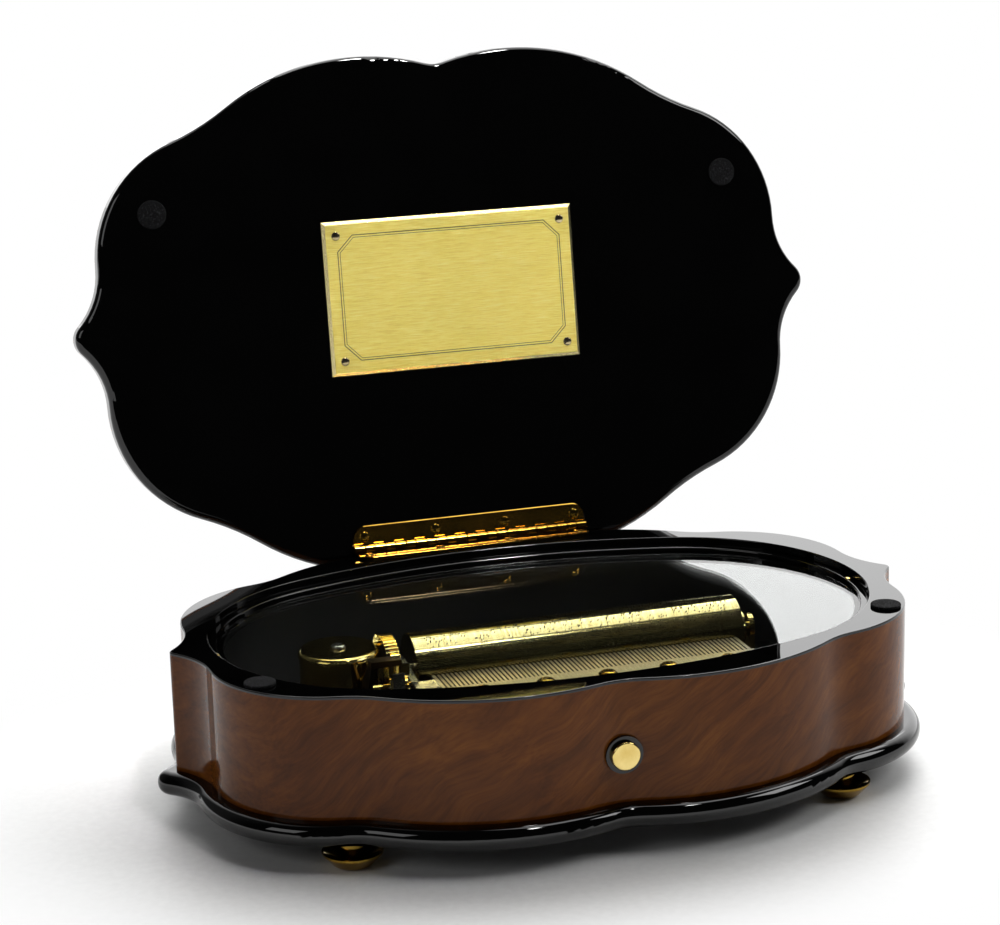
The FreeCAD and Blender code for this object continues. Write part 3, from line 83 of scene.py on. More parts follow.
# Felt pads, in millimetres: the felt is pressed to a share of its solid's height, and its face is lumpy
PAD_PRESSED_SHARE, PAD_RAGGED_SHARE = 0.72, 0.008
PAD_HEIGHT = PAD_PRESSED_SHARE * (corners("rim_felt_pads")[1][2] - RIM_TOP)
PAD_LIFT, PAD_LUMPS, PAD_LUMPS_FROM = 0.02, 0.06, 0.2
PAD_SEGMENTS = 72

# Chamfers of the hinge's leaves, in millimetres; the case leaf's is narrower, because its steps are small
LEAF_CHAMFERS = {"hinge_leaf_case": 0.07, "hinge_leaf_lid": 0.3}
SEAM_GAP = 0.001
# Degrees of turn from which a leaf's edge is chamfered, and from which it shows as a crisp line
SHARP_EDGE, CRISP_EDGE = 50, 30

# Screw heads: how deep they are let in, and the washer under a comb screw, in millimetres
HEAD_SEAT = 0.2
WASHER_EDGE, WASHER_HEIGHT, WASHER_SLOPE = 0.35, 0.55, 0.25
# Shares of a head's height that are its upright side and its slot, and how finely it is turned
HEAD_SIDE, SLOT_DEPTH = 0.35, 0.6
HEAD_SEGMENTS, DOME_STEPS = 40, 7
# How far a slot may be turned out of line on the lid and on the case, in radians
LID_SLOT_TURN, CASE_SLOT_TURN = 0.5, 1.2

# Border lines of the plaque, in millimetres: inset, length cut off each corner, and width
BORDER_LINES = ((5.1, 5.9, 0.3), (6.0, 5.4, 0.2))
LINE_LIFT = 0.012

# Music pins, in millimetres, thicker than real ones so that they show; three tunes lie side by side
TUNE_TRACKS = (-0.42, 0.0, 0.42)
FEWEST_PINS, MOST_PINS = 5, 17
PIN_RADIUS, PIN_LENGTH, PIN_ROOT, PIN_TAPER = 0.23, 0.5, 0.1, 0.8

# Degrees of turn from which an edge of a screw head or of a felt pad is left crisp
HEAD_CRISP_EDGE, FELT_CRISP_EDGE = 35, 60

# The floor's reach from its middle, in metres
FLOOR_REACH = 6


def lid_matrix():
    """From the closed lid's place to the open lid's, in millimetres."""
    pivot = Matrix.Translation((0, HINGE_Y, HINGE_Z))
    return pivot @ Matrix.Rotation(math.radians(-LID_OPEN), 4, "X") @ pivot.inverted()


LID = lid_matrix()


def linear(hex_code):
    """An sRGB hex colour as linear red, green, blue and alpha."""
    channels = [int(hex_code[i:i + 2], 16) / 255 for i in (0, 2, 4)]
    return [c / 12.92 if c <= 0.04045 else ((c + 0.055) / 1.055) ** 2.4 for c in channels] + [1.0]


def set_inputs(tree, node, inputs):
    """Give a node's inputs their values, or link them where the value is another node's output."""
    for name, value in inputs.items():
        if isinstance(value, bpy.types.NodeSocket):
            tree.links.new(value, node.inputs[name])
        else:
            node.inputs[name].default_value = value


def add_node(tree, kind, inputs=None, steps=(), **settings):
    """Add one shader node with its settings and links; steps are a ramp's places and hex colours."""
    node = tree.nodes.new("ShaderNode" + kind)
    for name, value in settings.items():
        setattr(node, name, value)
    set_inputs(tree, node, inputs or {})
    for place, hex_code in steps:
        node.color_ramp.elements.new(place).color = linear(hex_code)
    if steps:
        # A new ramp comes with a black and a white end, which the steps replace
        for spare in (0, -1):
            node.color_ramp.elements.remove(node.color_ramp.elements[spare])
    return node


def new_finish(name, inputs):
    """A material, its tree and surface shader, and coordinates in which a scale of 1 / 18 means 18 mm."""
    material = bpy.data.materials.new(name)
    material.use_nodes = True
    tree = material.node_tree
    surface = tree.nodes["Principled BSDF"]
    set_inputs(tree, surface, inputs)
    place = add_node(tree, "TexCoord").outputs["Object"]
    millimetres = add_node(tree, "Mapping", {"Vector": place, "Scale": (1 / MM, 1 / MM, 1 / MM)})
    return material, tree, surface, millimetres.outputs["Vector"]


def piano_lacquer():
    """Black polyester lacquer, sprayed, sanded and buffed: a deep mirror with faint buffing haze."""
    material, tree, surface, mm = new_finish("black_piano_lacquer", {"IOR": 1.52})
    haze = add_node(tree, "TexNoise", {"Vector": mm, "Scale": 1 / 18, "Detail": 3})
    black = add_node(tree, "ValToRGB", {"Fac": haze.outputs["Fac"]}, [(0.3, "010101"), (0.7, "030303")])
    rough = add_node(tree, "MapRange", {"Value": haze.outputs["Fac"], "From Min": 0.35, "From Max": 0.75,
                                        "To Min": 0.012, "To Max": 0.035})
    ripple = add_node(tree, "TexNoise", {"Vector": mm, "Scale": 1 / 25, "Detail": 1})
    bump = add_node(tree, "Bump", {"Height": ripple.outputs["Fac"], "Strength": 0.02, "Distance": 0.3 * MM})
    set_inputs(tree, surface, {"Base Color": black.outputs["Color"], "Roughness": rough.outputs["Result"],
                               "Normal": bump.outputs["Normal"]})
    return material


def walnut_veneer():
    """Walnut sliced from a swirling butt, stained and lacquered: slanting brown feathers under a gloss."""
    material, tree, surface, mm = new_finish("lacquered_walnut_veneer", {
        "IOR": 1.5, "Roughness": 0.1, "Specular IOR Level": 0.17})
    # The whole figure sways by up to 26 mm over about 45 mm, and slants by 38 degrees
    sway = add_node(tree, "TexNoise", {"Vector": mm, "Scale": 1 / 45, "Detail": 2})
    pull = add_node(tree, "VectorMath", {0: sway.outputs["Color"], 1: (26, 26, 26)}, operation="MULTIPLY")
    bent = add_node(tree, "VectorMath", {0: mm, 1: pull.outputs["Vector"]}, operation="ADD")
    slant = add_node(tree, "Mapping", {"Vector": bent.outputs["Vector"],
                                       "Rotation": (0, math.radians(38), 0)}).outputs["Vector"]
    # Feathers about 45 mm long and 6 mm wide
    feather = add_node(tree, "Mapping", {"Vector": slant, "Scale": (1 / 45, 1 / 14, 1 / 6)})
    bands = add_node(tree, "TexNoise", {"Vector": feather.outputs["Vector"], "Scale": 1, "Detail": 5,
                                        "Roughness": 0.62, "Distortion": 0.5})
    brown = add_node(tree, "ValToRGB", {"Fac": bands.outputs["Fac"]},
                     [(0.26, "5e330d"), (0.44, "6c3c10"), (0.58, "7a4615"), (0.8, "90571d")])
    # Fibres about 9 mm long and 0.9 mm wide, coarser than real ones so that they show
    stretch = add_node(tree, "Mapping", {"Vector": slant, "Scale": (1 / 9, 1 / 1.6, 1 / 0.9)})
    fibre = add_node(tree, "TexNoise", {"Vector": stretch.outputs["Vector"], "Scale": 1, "Detail": 3})
    fine = add_node(tree, "ValToRGB", {"Fac": fibre.outputs["Fac"]}, [(0.3, "c4b3a6"), (0.62, "ffffff")])
    grain = add_node(tree, "Mix", {"Factor": 0.5, "A": brown.outputs["Color"], "B": fine.outputs["Color"]},
                     data_type="RGBA", blend_type="MULTIPLY")
    # Clouds of darker stain about 38 mm across
    cloud = add_node(tree, "TexNoise", {"Vector": mm, "Scale": 1 / 38, "Detail": 2})
    patch = add_node(tree, "ValToRGB", {"Fac": cloud.outputs["Fac"]}, [(0.35, "c9b8ab"), (0.65, "ffffff")])
    figure = add_node(tree, "Mix", {"Factor": 0.6, "A": grain.outputs["Result"],
                                    "B": patch.outputs["Color"]}, data_type="RGBA", blend_type="MULTIPLY")
    set_inputs(tree, surface, {"Base Color": figure.outputs["Result"]})
    return material


def brushed_brass():
    """Brass sheet drawn lengthwise over an abrasive belt: long streaks that spread light upright."""
    material, tree, surface, mm = new_finish("brushed_brass", {"Metallic": 1.0, "Anisotropic": 0.75})
    upright = add_node(tree, "Tangent", direction_type="RADIAL", axis="X")
    # Real scratches are about 0.05 mm wide; streaks of 0.3 mm stand for bundles of them so that they show
    stretch = add_node(tree, "Mapping", {"Vector": mm, "Scale": (1 / 7, 1 / 0.3, 1 / 0.3)})
    streak = add_node(tree, "TexNoise", {"Vector": stretch.outputs["Vector"], "Scale": 1, "Detail": 4,
                                         "Roughness": 0.7})
    brass = add_node(tree, "ValToRGB", {"Fac": streak.outputs["Fac"]},
                     [(0.3, "e4cb62"), (0.5, "f2e078"), (0.72, "faf0a0")])
    brushed = add_node(tree, "MapRange", {"Value": streak.outputs["Fac"], "From Min": 0.3, "From Max": 0.7,
                                          "To Min": 0.62, "To Max": 0.5})
    # The bevel round the plate is cut with a diamond tool and left bare, so it is paler and brighter
    normal = add_node(tree, "TexCoord").outputs["Normal"]
    plate_normal = LID.to_3x3() @ Vector((0, 0, -1))
    facing = add_node(tree, "VectorMath", {0: normal, 1: plate_normal}, operation="DOT_PRODUCT")
    flat = add_node(tree, "Math", {0: facing.outputs["Value"], 1: 0.95}, operation="GREATER_THAN")
    rough = add_node(tree, "Mix", {"Factor": flat.outputs["Value"], "A": 0.2,
                                   "B": brushed.outputs["Result"]})
    colour = add_node(tree, "Mix", {"Factor": flat.outputs["Value"], "A": linear("fdecac"),
                                    "B": brass.outputs["Color"]}, data_type="RGBA")
    bump = add_node(tree, "Bump", {"Height": streak.outputs["Fac"], "Strength": 0.25, "Distance": 0.2 * MM})
    set_inputs(tree, surface, {"Base Color": colour.outputs["Result"], "Roughness": rough.outputs["Result"],
                               "Normal": bump.outputs["Normal"], "Tangent": upright.outputs["Tangent"]})
    return material


def buffed_brass(name, light, dark, low, high):
    """Brass turned or stamped, buffed and clear lacquered: a near mirror with faint cloudy tarnish."""
    material, tree, surface, mm = new_finish(name, {"Metallic": 1.0})
    cloud = add_node(tree, "TexNoise", {"Vector": mm, "Scale": 1 / 9, "Detail": 4})
    brass = add_node(tree, "ValToRGB", {"Fac": cloud.outputs["Fac"]}, [(0.3, dark), (0.65, light)])
    rough = add_node(tree, "MapRange", {"Value": cloud.outputs["Fac"], "From Min": 0.3, "From Max": 0.7,
                                        "To Min": high, "To Max": low})
    set_inputs(tree, surface, {"Base Color": brass.outputs["Color"], "Roughness": rough.outputs["Result"]})
    return material


def hinge_brass():
    """Brass strip stamped, rolled into knuckles and buffed: a near mirror, with painted shade in the joints.
    """
    material, tree, surface, mm = new_finish("rolled_hinge_brass", {"Metallic": 1.0})
    cloud = add_node(tree, "TexNoise", {"Vector": mm, "Scale": 1 / 9, "Detail": 4})
    brass = add_node(tree, "ValToRGB", {"Fac": cloud.outputs["Fac"]}, [(0.3, "98722c"), (0.65, "bc9540")])
    # Faces that look along the pin are the knuckles' ends and their chamfers; they are painted near black,
    # as shade in the joints between knuckles
    normal = add_node(tree, "TexCoord").outputs["Normal"]
    facing = add_node(tree, "SeparateXYZ", {"Vector": normal})
    sideways = add_node(tree, "Math", {0: facing.outputs["X"]}, operation="ABSOLUTE")
    joint = add_node(tree, "Math", {0: sideways.outputs["Value"], 1: 0.5}, operation="GREATER_THAN")
    shaded_joints = add_node(tree, "Mix", {"Factor": joint.outputs["Value"], "A": brass.outputs["Color"],
                                   "B": linear("1a1107")}, data_type="RGBA")
    rough = add_node(tree, "MapRange", {"Value": cloud.outputs["Fac"], "From Min": 0.3, "From Max": 0.7,
                                        "To Min": 0.09, "To Max": 0.05})
    set_inputs(tree, surface, {"Base Color": shaded_joints.outputs["Result"], "Roughness": rough.outputs["Result"]})
    return material


def turned_brass():
    """Drawn brass tube turned true in a lathe: fine rings round the drum soften one long highlight."""
    material, tree, surface, mm = new_finish("turned_brass_drum", {"Metallic": 1.0})
    # The lathe's rings are about 0.1 mm apart; they are drawn 0.3 mm apart so that they show
    stretch = add_node(tree, "Mapping", {"Vector": mm, "Scale": (1 / 0.3, 1 / 20, 1 / 20)})
    rings = add_node(tree, "TexNoise", {"Vector": stretch.outputs["Vector"], "Scale": 1, "Detail": 2})
    brass = add_node(tree, "ValToRGB", {"Fac": rings.outputs["Fac"]}, [(0.3, "cdb878"), (0.7, "e6d79c")])
    rough = add_node(tree, "MapRange", {"Value": rings.outputs["Fac"], "To Min": 0.07, "To Max": 0.12})
    set_inputs(tree, surface, {"Base Color": brass.outputs["Color"], "Roughness": rough.outputs["Result"]})
    return material


def ground_steel(name, light, dark, low, high):
    """Steel cut, hardened and surface ground: a sheen with a faint lay of grinding streaks."""
    material, tree, surface, mm = new_finish(name, {"Metallic": 1.0})
    # Streaks 7 mm long and 0.5 mm wide stand for bundles of finer ones so that they show
    stretch = add_node(tree, "Mapping", {"Vector": mm, "Scale": (1 / 0.5, 1 / 7, 1 / 0.5)})
    lay = add_node(tree, "TexNoise", {"Vector": stretch.outputs["Vector"], "Scale": 1, "Detail": 3})
    grey = add_node(tree, "ValToRGB", {"Fac": lay.outputs["Fac"]}, [(0.3, dark), (0.7, light)])
    rough = add_node(tree, "MapRange", {"Value": lay.outputs["Fac"], "To Min": low, "To Max": high})
    set_inputs(tree, surface, {"Base Color": grey.outputs["Color"], "Roughness": rough.outputs["Result"]})
    return material


def comb_steel():
    """Tool steel sawn, hardened, then ground on top: a pale satin face; the other faces are near black, for
    the scale left on them and as painted shade in the slots.
    """
    material, tree, surface, mm = new_finish("sawn_comb_steel", {"Metallic": 1.0})
    # Grinding streaks as wide and as long as on the other steel
    stretch = add_node(tree, "Mapping", {"Vector": mm, "Scale": (1 / 0.5, 1 / 7, 1 / 0.5)})
    lay = add_node(tree, "TexNoise", {"Vector": stretch.outputs["Vector"], "Scale": 1, "Detail": 3})
    pale = add_node(tree, "ValToRGB", {"Fac": lay.outputs["Fac"]}, [(0.3, "cfc3a2"), (0.7, "f0e6c8")])
    # Only faces that look up were ground; the rest are painted near black, for their scale and as painted
    # shade in the slots and under the comb
    normal = add_node(tree, "TexCoord").outputs["Normal"]
    facing = add_node(tree, "SeparateXYZ", {"Vector": normal})
    ground = add_node(tree, "Math", {0: facing.outputs["Z"], 1: 0.5}, operation="GREATER_THAN")
    steel = add_node(tree, "Mix", {"Factor": ground.outputs["Value"], "A": linear("16130d"),
                                   "B": pale.outputs["Color"]}, data_type="RGBA")
    rough = add_node(tree, "MapRange", {"Value": lay.outputs["Fac"], "To Min": 0.26, "To Max": 0.36})
    set_inputs(tree, surface, {"Base Color": steel.outputs["Result"], "Roughness": rough.outputs["Result"]})
    return material


def float_glass():
    """Float glass, fire polished: clear with a little green, and open to the lamps' shadow rays."""
    material, tree, surface, mm = new_finish("float_glass", {
        "IOR": 1.52, "Roughness": 0.0, "Transmission Weight": 1.0})
    wave = add_node(tree, "TexNoise", {"Vector": mm, "Scale": 1 / 60, "Detail": 1})
    tint = add_node(tree, "ValToRGB", {"Fac": wave.outputs["Fac"]}, [(0.3, "f4faf7"), (0.7, "fbfefd")])
    set_inputs(tree, surface, {"Base Color": tint.outputs["Color"]})
    clear = add_node(tree, "BsdfTransparent")
    shadow = add_node(tree, "LightPath").outputs["Is Shadow Ray"]
    pane = add_node(tree, "MixShader", {0: shadow, 1: surface.outputs["BSDF"], 2: clear.outputs["BSDF"]})
    set_inputs(tree, tree.nodes["Material Output"], {"Surface": pane.outputs["Shader"]})
    return material


def wool_felt():
    """Charcoal wool felt, pressed and punched: matt, with pale lint among dark fibres."""
    material, tree, surface, mm = new_finish("charcoal_wool_felt", {
        "Roughness": 0.95, "Specular IOR Level": 0.15})
    # Wool fibres are about 0.03 mm thick; tufts of 0.5 mm stand for them so that they show
    lint = add_node(tree, "TexNoise", {"Vector": mm, "Scale": 1 / 0.5, "Detail": 5, "Roughness": 0.75})
    grey = add_node(tree, "ValToRGB", {"Fac": lint.outputs["Fac"]},
                    [(0.42, "060606"), (0.55, "0c0c0d"), (0.67, "505054")])
    bump = add_node(tree, "Bump", {"Height": lint.outputs["Fac"], "Strength": 0.9, "Distance": 0.5 * MM})
    set_inputs(tree, surface, {"Base Color": grey.outputs["Color"], "Normal": bump.outputs["Normal"]})
    return material


def black_resin():
    """Black resin turned on a lathe and polished: glossy with fine turning marks."""
    material, tree, surface, mm = new_finish("black_turned_resin", {"IOR": 1.5})
    # Turning marks are about 0.1 mm apart; mottling of 0.8 mm stands for them so that it shows
    marks = add_node(tree, "TexNoise", {"Vector": mm, "Scale": 1 / 0.8, "Detail": 2})
    black = add_node(tree, "ValToRGB", {"Fac": marks.outputs["Fac"]}, [(0.3, "040404"), (0.7, "090909")])
    rough = add_node(tree, "MapRange", {"Value": marks.outputs["Fac"], "To Min": 0.08, "To Max": 0.2})
    set_inputs(tree, surface, {"Base Color": black.outputs["Color"], "Roughness": rough.outputs["Result"]})
    return material


def stained_spruce():
    """Spruce planed and stained black: matt with faint grain about 1.6 mm wide."""
    material, tree, surface, mm = new_finish("black_stained_spruce", {"Roughness": 0.5})
    stretch = add_node(tree, "Mapping", {"Vector": mm, "Scale": (1 / 40, 1 / 1.6, 1 / 40)})
    grain = add_node(tree, "TexNoise", {"Vector": stretch.outputs["Vector"], "Scale": 1, "Detail": 4})
    black = add_node(tree, "ValToRGB", {"Fac": grain.outputs["Fac"]}, [(0.3, "050404"), (0.7, "0c0a09")])
    set_inputs(tree, surface, {"Base Color": black.outputs["Color"]})
    return material


def line_enamel():
    """Black enamel wiped into engraved lines: matt and a little uneven."""
    material, tree, surface, mm = new_finish("black_line_enamel", {"Roughness": 0.5})
    grain = add_node(tree, "TexNoise", {"Vector": mm, "Scale": 1 / 0.4, "Detail": 2})
    black = add_node(tree, "ValToRGB", {"Fac": grain.outputs["Fac"]}, [(0.3, "1d1708"), (0.7, "33290f")])
    set_inputs(tree, surface, {"Base Color": black.outputs["Color"]})
    return material


LACQUER = piano_lacquer()
VENEER = walnut_veneer()
PLATE_BRASS = brushed_brass()
# Buffed brass and ground steel: name, light and dark colour, and the lowest and highest roughness
BRASS = buffed_brass("buffed_brass", "ecd48a", "d6b866", 0.07, 0.14)
DEEP_BRASS = buffed_brass("lacquered_brass_and_foot_shade", "bd9a44", "94742c", 0.06, 0.1)
PALE_BRASS = buffed_brass("pale_screw_brass", "cdbf9a", "a5966f", 0.12, 0.18)
# Dark brass for the movement's low parts: painted shade under the comb and deep in the case
SHADE_DARK_BRASS = buffed_brass("brass_painted_shade_dark", "4a381f", "2c2013", 0.3, 0.42)
HINGE_BRASS = hinge_brass()
DRUM_BRASS = turned_brass()
STEEL = ground_steel("ground_steel", "dcd8cc", "b3aea2", 0.14, 0.26)
# The pins' wire is painted near black: painted shade standing for their shaded sides
PIN_STEEL = ground_steel("pin_wire_painted_shade", "2c2822", "120f0d", 0.3, 0.4)
COMB_STEEL = comb_steel()
GLASS = float_glass()
FELT = wool_felt()
RESIN = black_resin()
SPRUCE = stained_spruce()
ENAMEL = line_enamel()

FINISHES = {
    LACQUER: ["base_plinth", "rim_frame", "glass_moulding", "lid_panel", "glass_ledge"],
    VENEER: ["case_veneer", "lid_top"],
    SPRUCE: ["bottom_board", "case_wall"],
    PLATE_BRASS: ["plaque"],
    HINGE_BRASS: ["hinge_leaf_case", "hinge_leaf_lid"],
    DRUM_BRASS: ["cylinder_drum", "cylinder_end_caps", "tune_cam"],
    # These parts are painted dark as the shade under the comb and deep in the case
    SHADE_DARK_BRASS: ["bedplate", "bedplate_pillars", "comb_bar", "governor_frame"],
    # The feet take the deep brass, darker than the buttons' and wheels', as painted shade under the plinth
    DEEP_BRASS: ["feet"],
    BRASS: ["start_button", "bracket_right", "great_wheel", "spring_barrel", "barrel_cover", "winding_key",
            "governor_wheel", "air_fan"],
    COMB_STEEL: ["comb"],
    STEEL: ["bracket_left", "hinge_pin", "button_spring", "stop_lever_post", "click_stud", "cylinder_arbor",
            "mainspring", "winding_arbor", "ratchet_wheel", "click", "governor_worm", "stop_lever"],
    GLASS: ["glass_cover"],
    RESIN: ["button_bush"],
}


def dress_solids():
    """Each CAD piece that isn't replaced gets its finish."""
    for finish, names in FINISHES.items():
        for name in names:
            mesh = frame["nodes"][name].data
            mesh.materials.clear()
            mesh.materials.append(finish)


def chamfer_hinge():
    """A small chamfer along each sharp edge of the hinge's leaves, so that edges and knuckle joints show."""
    for name, width in LEAF_CHAMFERS.items():
        leaf = frame["nodes"][name]
        # The solid's faces meet without sharing points, so they are welded first
        seams = leaf.modifiers.new("closed_seams", "WELD")
        seams.merge_threshold = SEAM_GAP * MM
        edges = leaf.modifiers.new("chamfered_edges", "BEVEL")
        edges.width = width * MM
        edges.segments = 1
        edges.use_clamp_overlap = False
        edges.limit_method = "ANGLE"
        edges.angle_limit = math.radians(SHARP_EDGE)
        crisp = leaf.modifiers.new("crisp_edges", "EDGE_SPLIT")
        crisp.split_angle = math.radians(CRISP_EDGE)


def new_mesh(name, bm):
    """Turn a bmesh into a mesh and free it."""
    mesh = bpy.data.meshes.new(name)
    bm.to_mesh(mesh)
    bm.free()
    return mesh


def new_object(name, data):
    """Put a mesh, a lamp or a camera into the scene."""
    made = bpy.data.objects.new(name, data)
    bpy.context.collection.objects.link(made)
    return made


def new_piece(name, bm, finish, body):
    """A mesh in millimetres becomes a piece in metres that rides on a body."""
    bmesh.ops.scale(bm, vec=(MM, MM, MM), verts=bm.verts)
    bm.normal_update()
    mesh = new_mesh(name, bm)
    mesh.materials.append(finish)
    piece = new_object(name, mesh)
    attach(piece, body)
    return piece


def lathe(bm, profile, segments):
    """Turn radius and height pairs about Z; the first and last radius are zero."""
    turn = [2 * math.pi * i / segments for i in range(segments)]
    rings = []
    for radius, height in profile:
        if radius == 0:
            rings.append([bm.verts.new((0, 0, height))])
        else:
            rings.append([bm.verts.new((radius * math.cos(a), radius * math.sin(a), height)) for a in turn])
    for low, high in zip(rings, rings[1:]):
        for i in range(segments):
            j = (i + 1) % segments
            around = [low[i % len(low)], low[j % len(low)], high[j % len(high)], high[i % len(high)]]
            unique = list(dict.fromkeys(around))
            if len(unique) > 2:
                bm.faces.new(unique)


def slotted_head(radius, height, slot, washer=0.0):
    """A domed screw head with a driver slot, seated at height zero; washer is the radius of one under it."""
    base = WASHER_HEIGHT if washer else 0.0
    top = base + height
    foot = [(0, -HEAD_SEAT), (radius, -HEAD_SEAT)]
    if washer:
        foot = [(0, -HEAD_SEAT), (washer, -HEAD_SEAT), (washer, WASHER_EDGE),
                (washer - WASHER_SLOPE, WASHER_HEIGHT), (radius, WASHER_HEIGHT)]
    side, crown = height * HEAD_SIDE, height * (1 - HEAD_SIDE)
    rise = [math.pi / 2 * i / DOME_STEPS for i in range(DOME_STEPS)]
    dome = [(radius * math.cos(a), base + side + crown * math.sin(a)) for a in rise]
    bm = bmesh.new()
    lathe(bm, foot + dome + [(0, top)], HEAD_SEGMENTS)
    bmesh.ops.recalc_face_normals(bm, faces=bm.faces)
    whole = new_object("whole_head", new_mesh("head", bm))
    bm = bmesh.new()
    bmesh.ops.create_cube(bm, size=1)
    bmesh.ops.scale(bm, vec=(radius * 3, slot, 2 * height * SLOT_DEPTH), verts=bm.verts)
    bmesh.ops.translate(bm, vec=(0, 0, top), verts=bm.verts)
    tool = new_object("slot_tool", new_mesh("slot", bm))
    cut = whole.modifiers.new("slot", "BOOLEAN")
    cut.operation = "DIFFERENCE"
    cut.object = tool
    result = bpy.data.meshes.new_from_object(whole.evaluated_get(bpy.context.evaluated_depsgraph_get()))
    for temporary in (whole, tool):
        bpy.data.objects.remove(temporary)
    return result


def gather(mesh, places):
    """Copies of one mesh at several matrices, in one bmesh."""
    bm = bmesh.new()
    for place in places:
        first = len(bm.verts)
        bm.from_mesh(mesh)
        bm.verts.ensure_lookup_table()
        bmesh.ops.transform(bm, matrix=place, verts=bm.verts[first:])
    return bm


def shade_smooth(piece, degrees):
    """Smooth faces with crisp edges where the surface turns by more than the angle."""
    for face in piece.data.polygons:
        face.use_smooth = True
    limit = math.radians(degrees)
    bm = bmesh.new()
    bm.from_mesh(piece.data)
    for edge in bm.edges:
        edge.smooth = edge.calc_face_angle(0) < limit
    bm.to_mesh(piece.data)
    bm.free()


def screw_group(name, head, places, finish, body, node):
    """Heads of one kind, in place of their CAD node."""
    piece = new_piece(name, gather(head, places), finish, body)
    shade_smooth(piece, HEAD_CRISP_EDGE)
    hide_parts(node)


def screw_heads():
    """All visible slotted screws, each turned a little differently."""
    turns = random.Random(5)

    def facing_down(x, y, z):
        """On the lid's inner side."""
        turn = Matrix.Rotation(turns.uniform(-LID_SLOT_TURN, LID_SLOT_TURN), 4, "Z")
        return LID @ Matrix.Translation((x, y, z)) @ Matrix.Rotation(math.pi, 4, "X") @ turn

    def facing_up(x, y, z):
        """On the case."""
        turn = Matrix.Rotation(turns.uniform(-CASE_SLOT_TURN, CASE_SLOT_TURN), 4, "Z")
        return Matrix.Translation((x, y, z)) @ turn

    on_plaque = [facing_down(x, PLAQUE_Y + y, PLAQUE_FACE) for x in (-PLAQUE_SCREW_X, PLAQUE_SCREW_X)
                 for y in (-PLAQUE_SCREW_Y, PLAQUE_SCREW_Y)]
    head = slotted_head(radius=1.6, height=0.62, slot=0.42)
    screw_group("plaque_screw_heads", head, on_plaque, PALE_BRASS, "lid", "plaque_screws")
    screw_y = HINGE_Y - LEAF_SCREW_INSET
    on_lid_leaf = [facing_down(x, screw_y, LID_FACE - LEAF_THICKNESS) for x in LEAF_SCREWS_X]
    head = slotted_head(radius=1.9, height=0.62, slot=0.45)
    screw_group("lid_hinge_screw_heads", head, on_lid_leaf, DEEP_BRASS,
                "lid", "hinge_screws_lid")
    on_case_leaf = [facing_up(x, screw_y, RIM_TOP + LEAF_THICKNESS) for x in LEAF_SCREWS_X]
    head = slotted_head(radius=1.9, height=0.36, slot=0.42)
    screw_group("case_hinge_screw_heads", head, on_case_leaf, DEEP_BRASS,
                "case", "hinge_screws_case")
    first = COMB_LEFT + COMB_LENGTH / 2 - COMB_SCREW_PITCH * (COMB_SCREWS - 1) / 2
    on_comb = [facing_up(first + COMB_SCREW_PITCH * i, COMB_SCREW_Y, COMB_TOP) for i in range(COMB_SCREWS)]
    head = slotted_head(radius=2.6, height=1.0, slot=0.6, washer=3.4)
    screw_group("comb_screw_heads", head, on_comb, DEEP_BRASS, "case", "comb_screws")
    on_moulding = [facing_up(x, 0, GLASS_SCREW_SEAT) for x in (-GLASS_SCREW_X, GLASS_SCREW_X)]
    head = slotted_head(radius=1.2, height=0.5, slot=0.3)
    screw_group("glass_screw_heads", head, on_moulding, BRASS, "case", "glass_screws")


def felt_disc():
    """A punched felt pad: a slightly crowned top, a soft rim and a lumpy face."""
    lumps = random.Random(3)
    radius, height = PAD_RADIUS, PAD_HEIGHT
    # From the middle of the underside, up the side, over the rim and in to the middle of the top
    profile = [(0, PAD_LIFT), (radius * 0.97, PAD_LIFT), (radius, 0.25), (radius, height * 0.7),
               (radius * 0.975, height * 0.88), (radius * 0.93, height * 0.95)]
    profile += [(radius * r, height * (0.95 + 0.03 * (1 - r))) for r in (0.85, 0.7, 0.55, 0.4, 0.25, 0.1)]
    profile += [(0, height * 0.98)]
    bm = bmesh.new()
    lathe(bm, profile, PAD_SEGMENTS)
    for vert in bm.verts:
        if vert.co.z > PAD_LUMPS_FROM:
            vert.co.z -= lumps.uniform(0, PAD_LUMPS)
            vert.co.xy *= 1 - lumps.uniform(0, PAD_RAGGED_SHARE)
    bmesh.ops.recalc_face_normals(bm, faces=bm.faces)
    return new_mesh("felt_disc", bm)


def felt_pads():
    """Two pads on the rim and two on the lid, in place of their CAD solids."""
    disc = felt_disc()
    on_rim = [Matrix.Translation((x, PAD_Y, RIM_TOP)) for x in (-PAD_X, PAD_X)]
    on_lid = [LID @ Matrix.Translation((x, PAD_Y, LID_FACE)) @ Matrix.Rotation(math.pi, 4, "X")
              for x in (-PAD_X, PAD_X)]
    for name, places, body, node in (("rim_felts", on_rim, "case", "rim_felt_pads"),
                                     ("lid_felts", on_lid, "lid", "lid_felt_pads")):
        piece = new_piece(name, gather(disc, places), FELT, body)
        shade_smooth(piece, FELT_CRISP_EDGE)
        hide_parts(node)


def line_border(inset, cut, width):
    """One line round the plaque with its corners cut off, as an outer and an inner loop of points."""
    loops = []
    for step in (0, width):
        x = PLAQUE_LENGTH / 2 - inset - step
        y = PLAQUE_WIDTH / 2 - inset - step
        c = cut - step * (2 - math.sqrt(2))
        loops.append([(x, y - c), (x - c, y), (-x + c, y), (-x, y - c),
                      (-x, -y + c), (-x + c, -y), (x - c, -y), (x, -y + c)])
    return loops


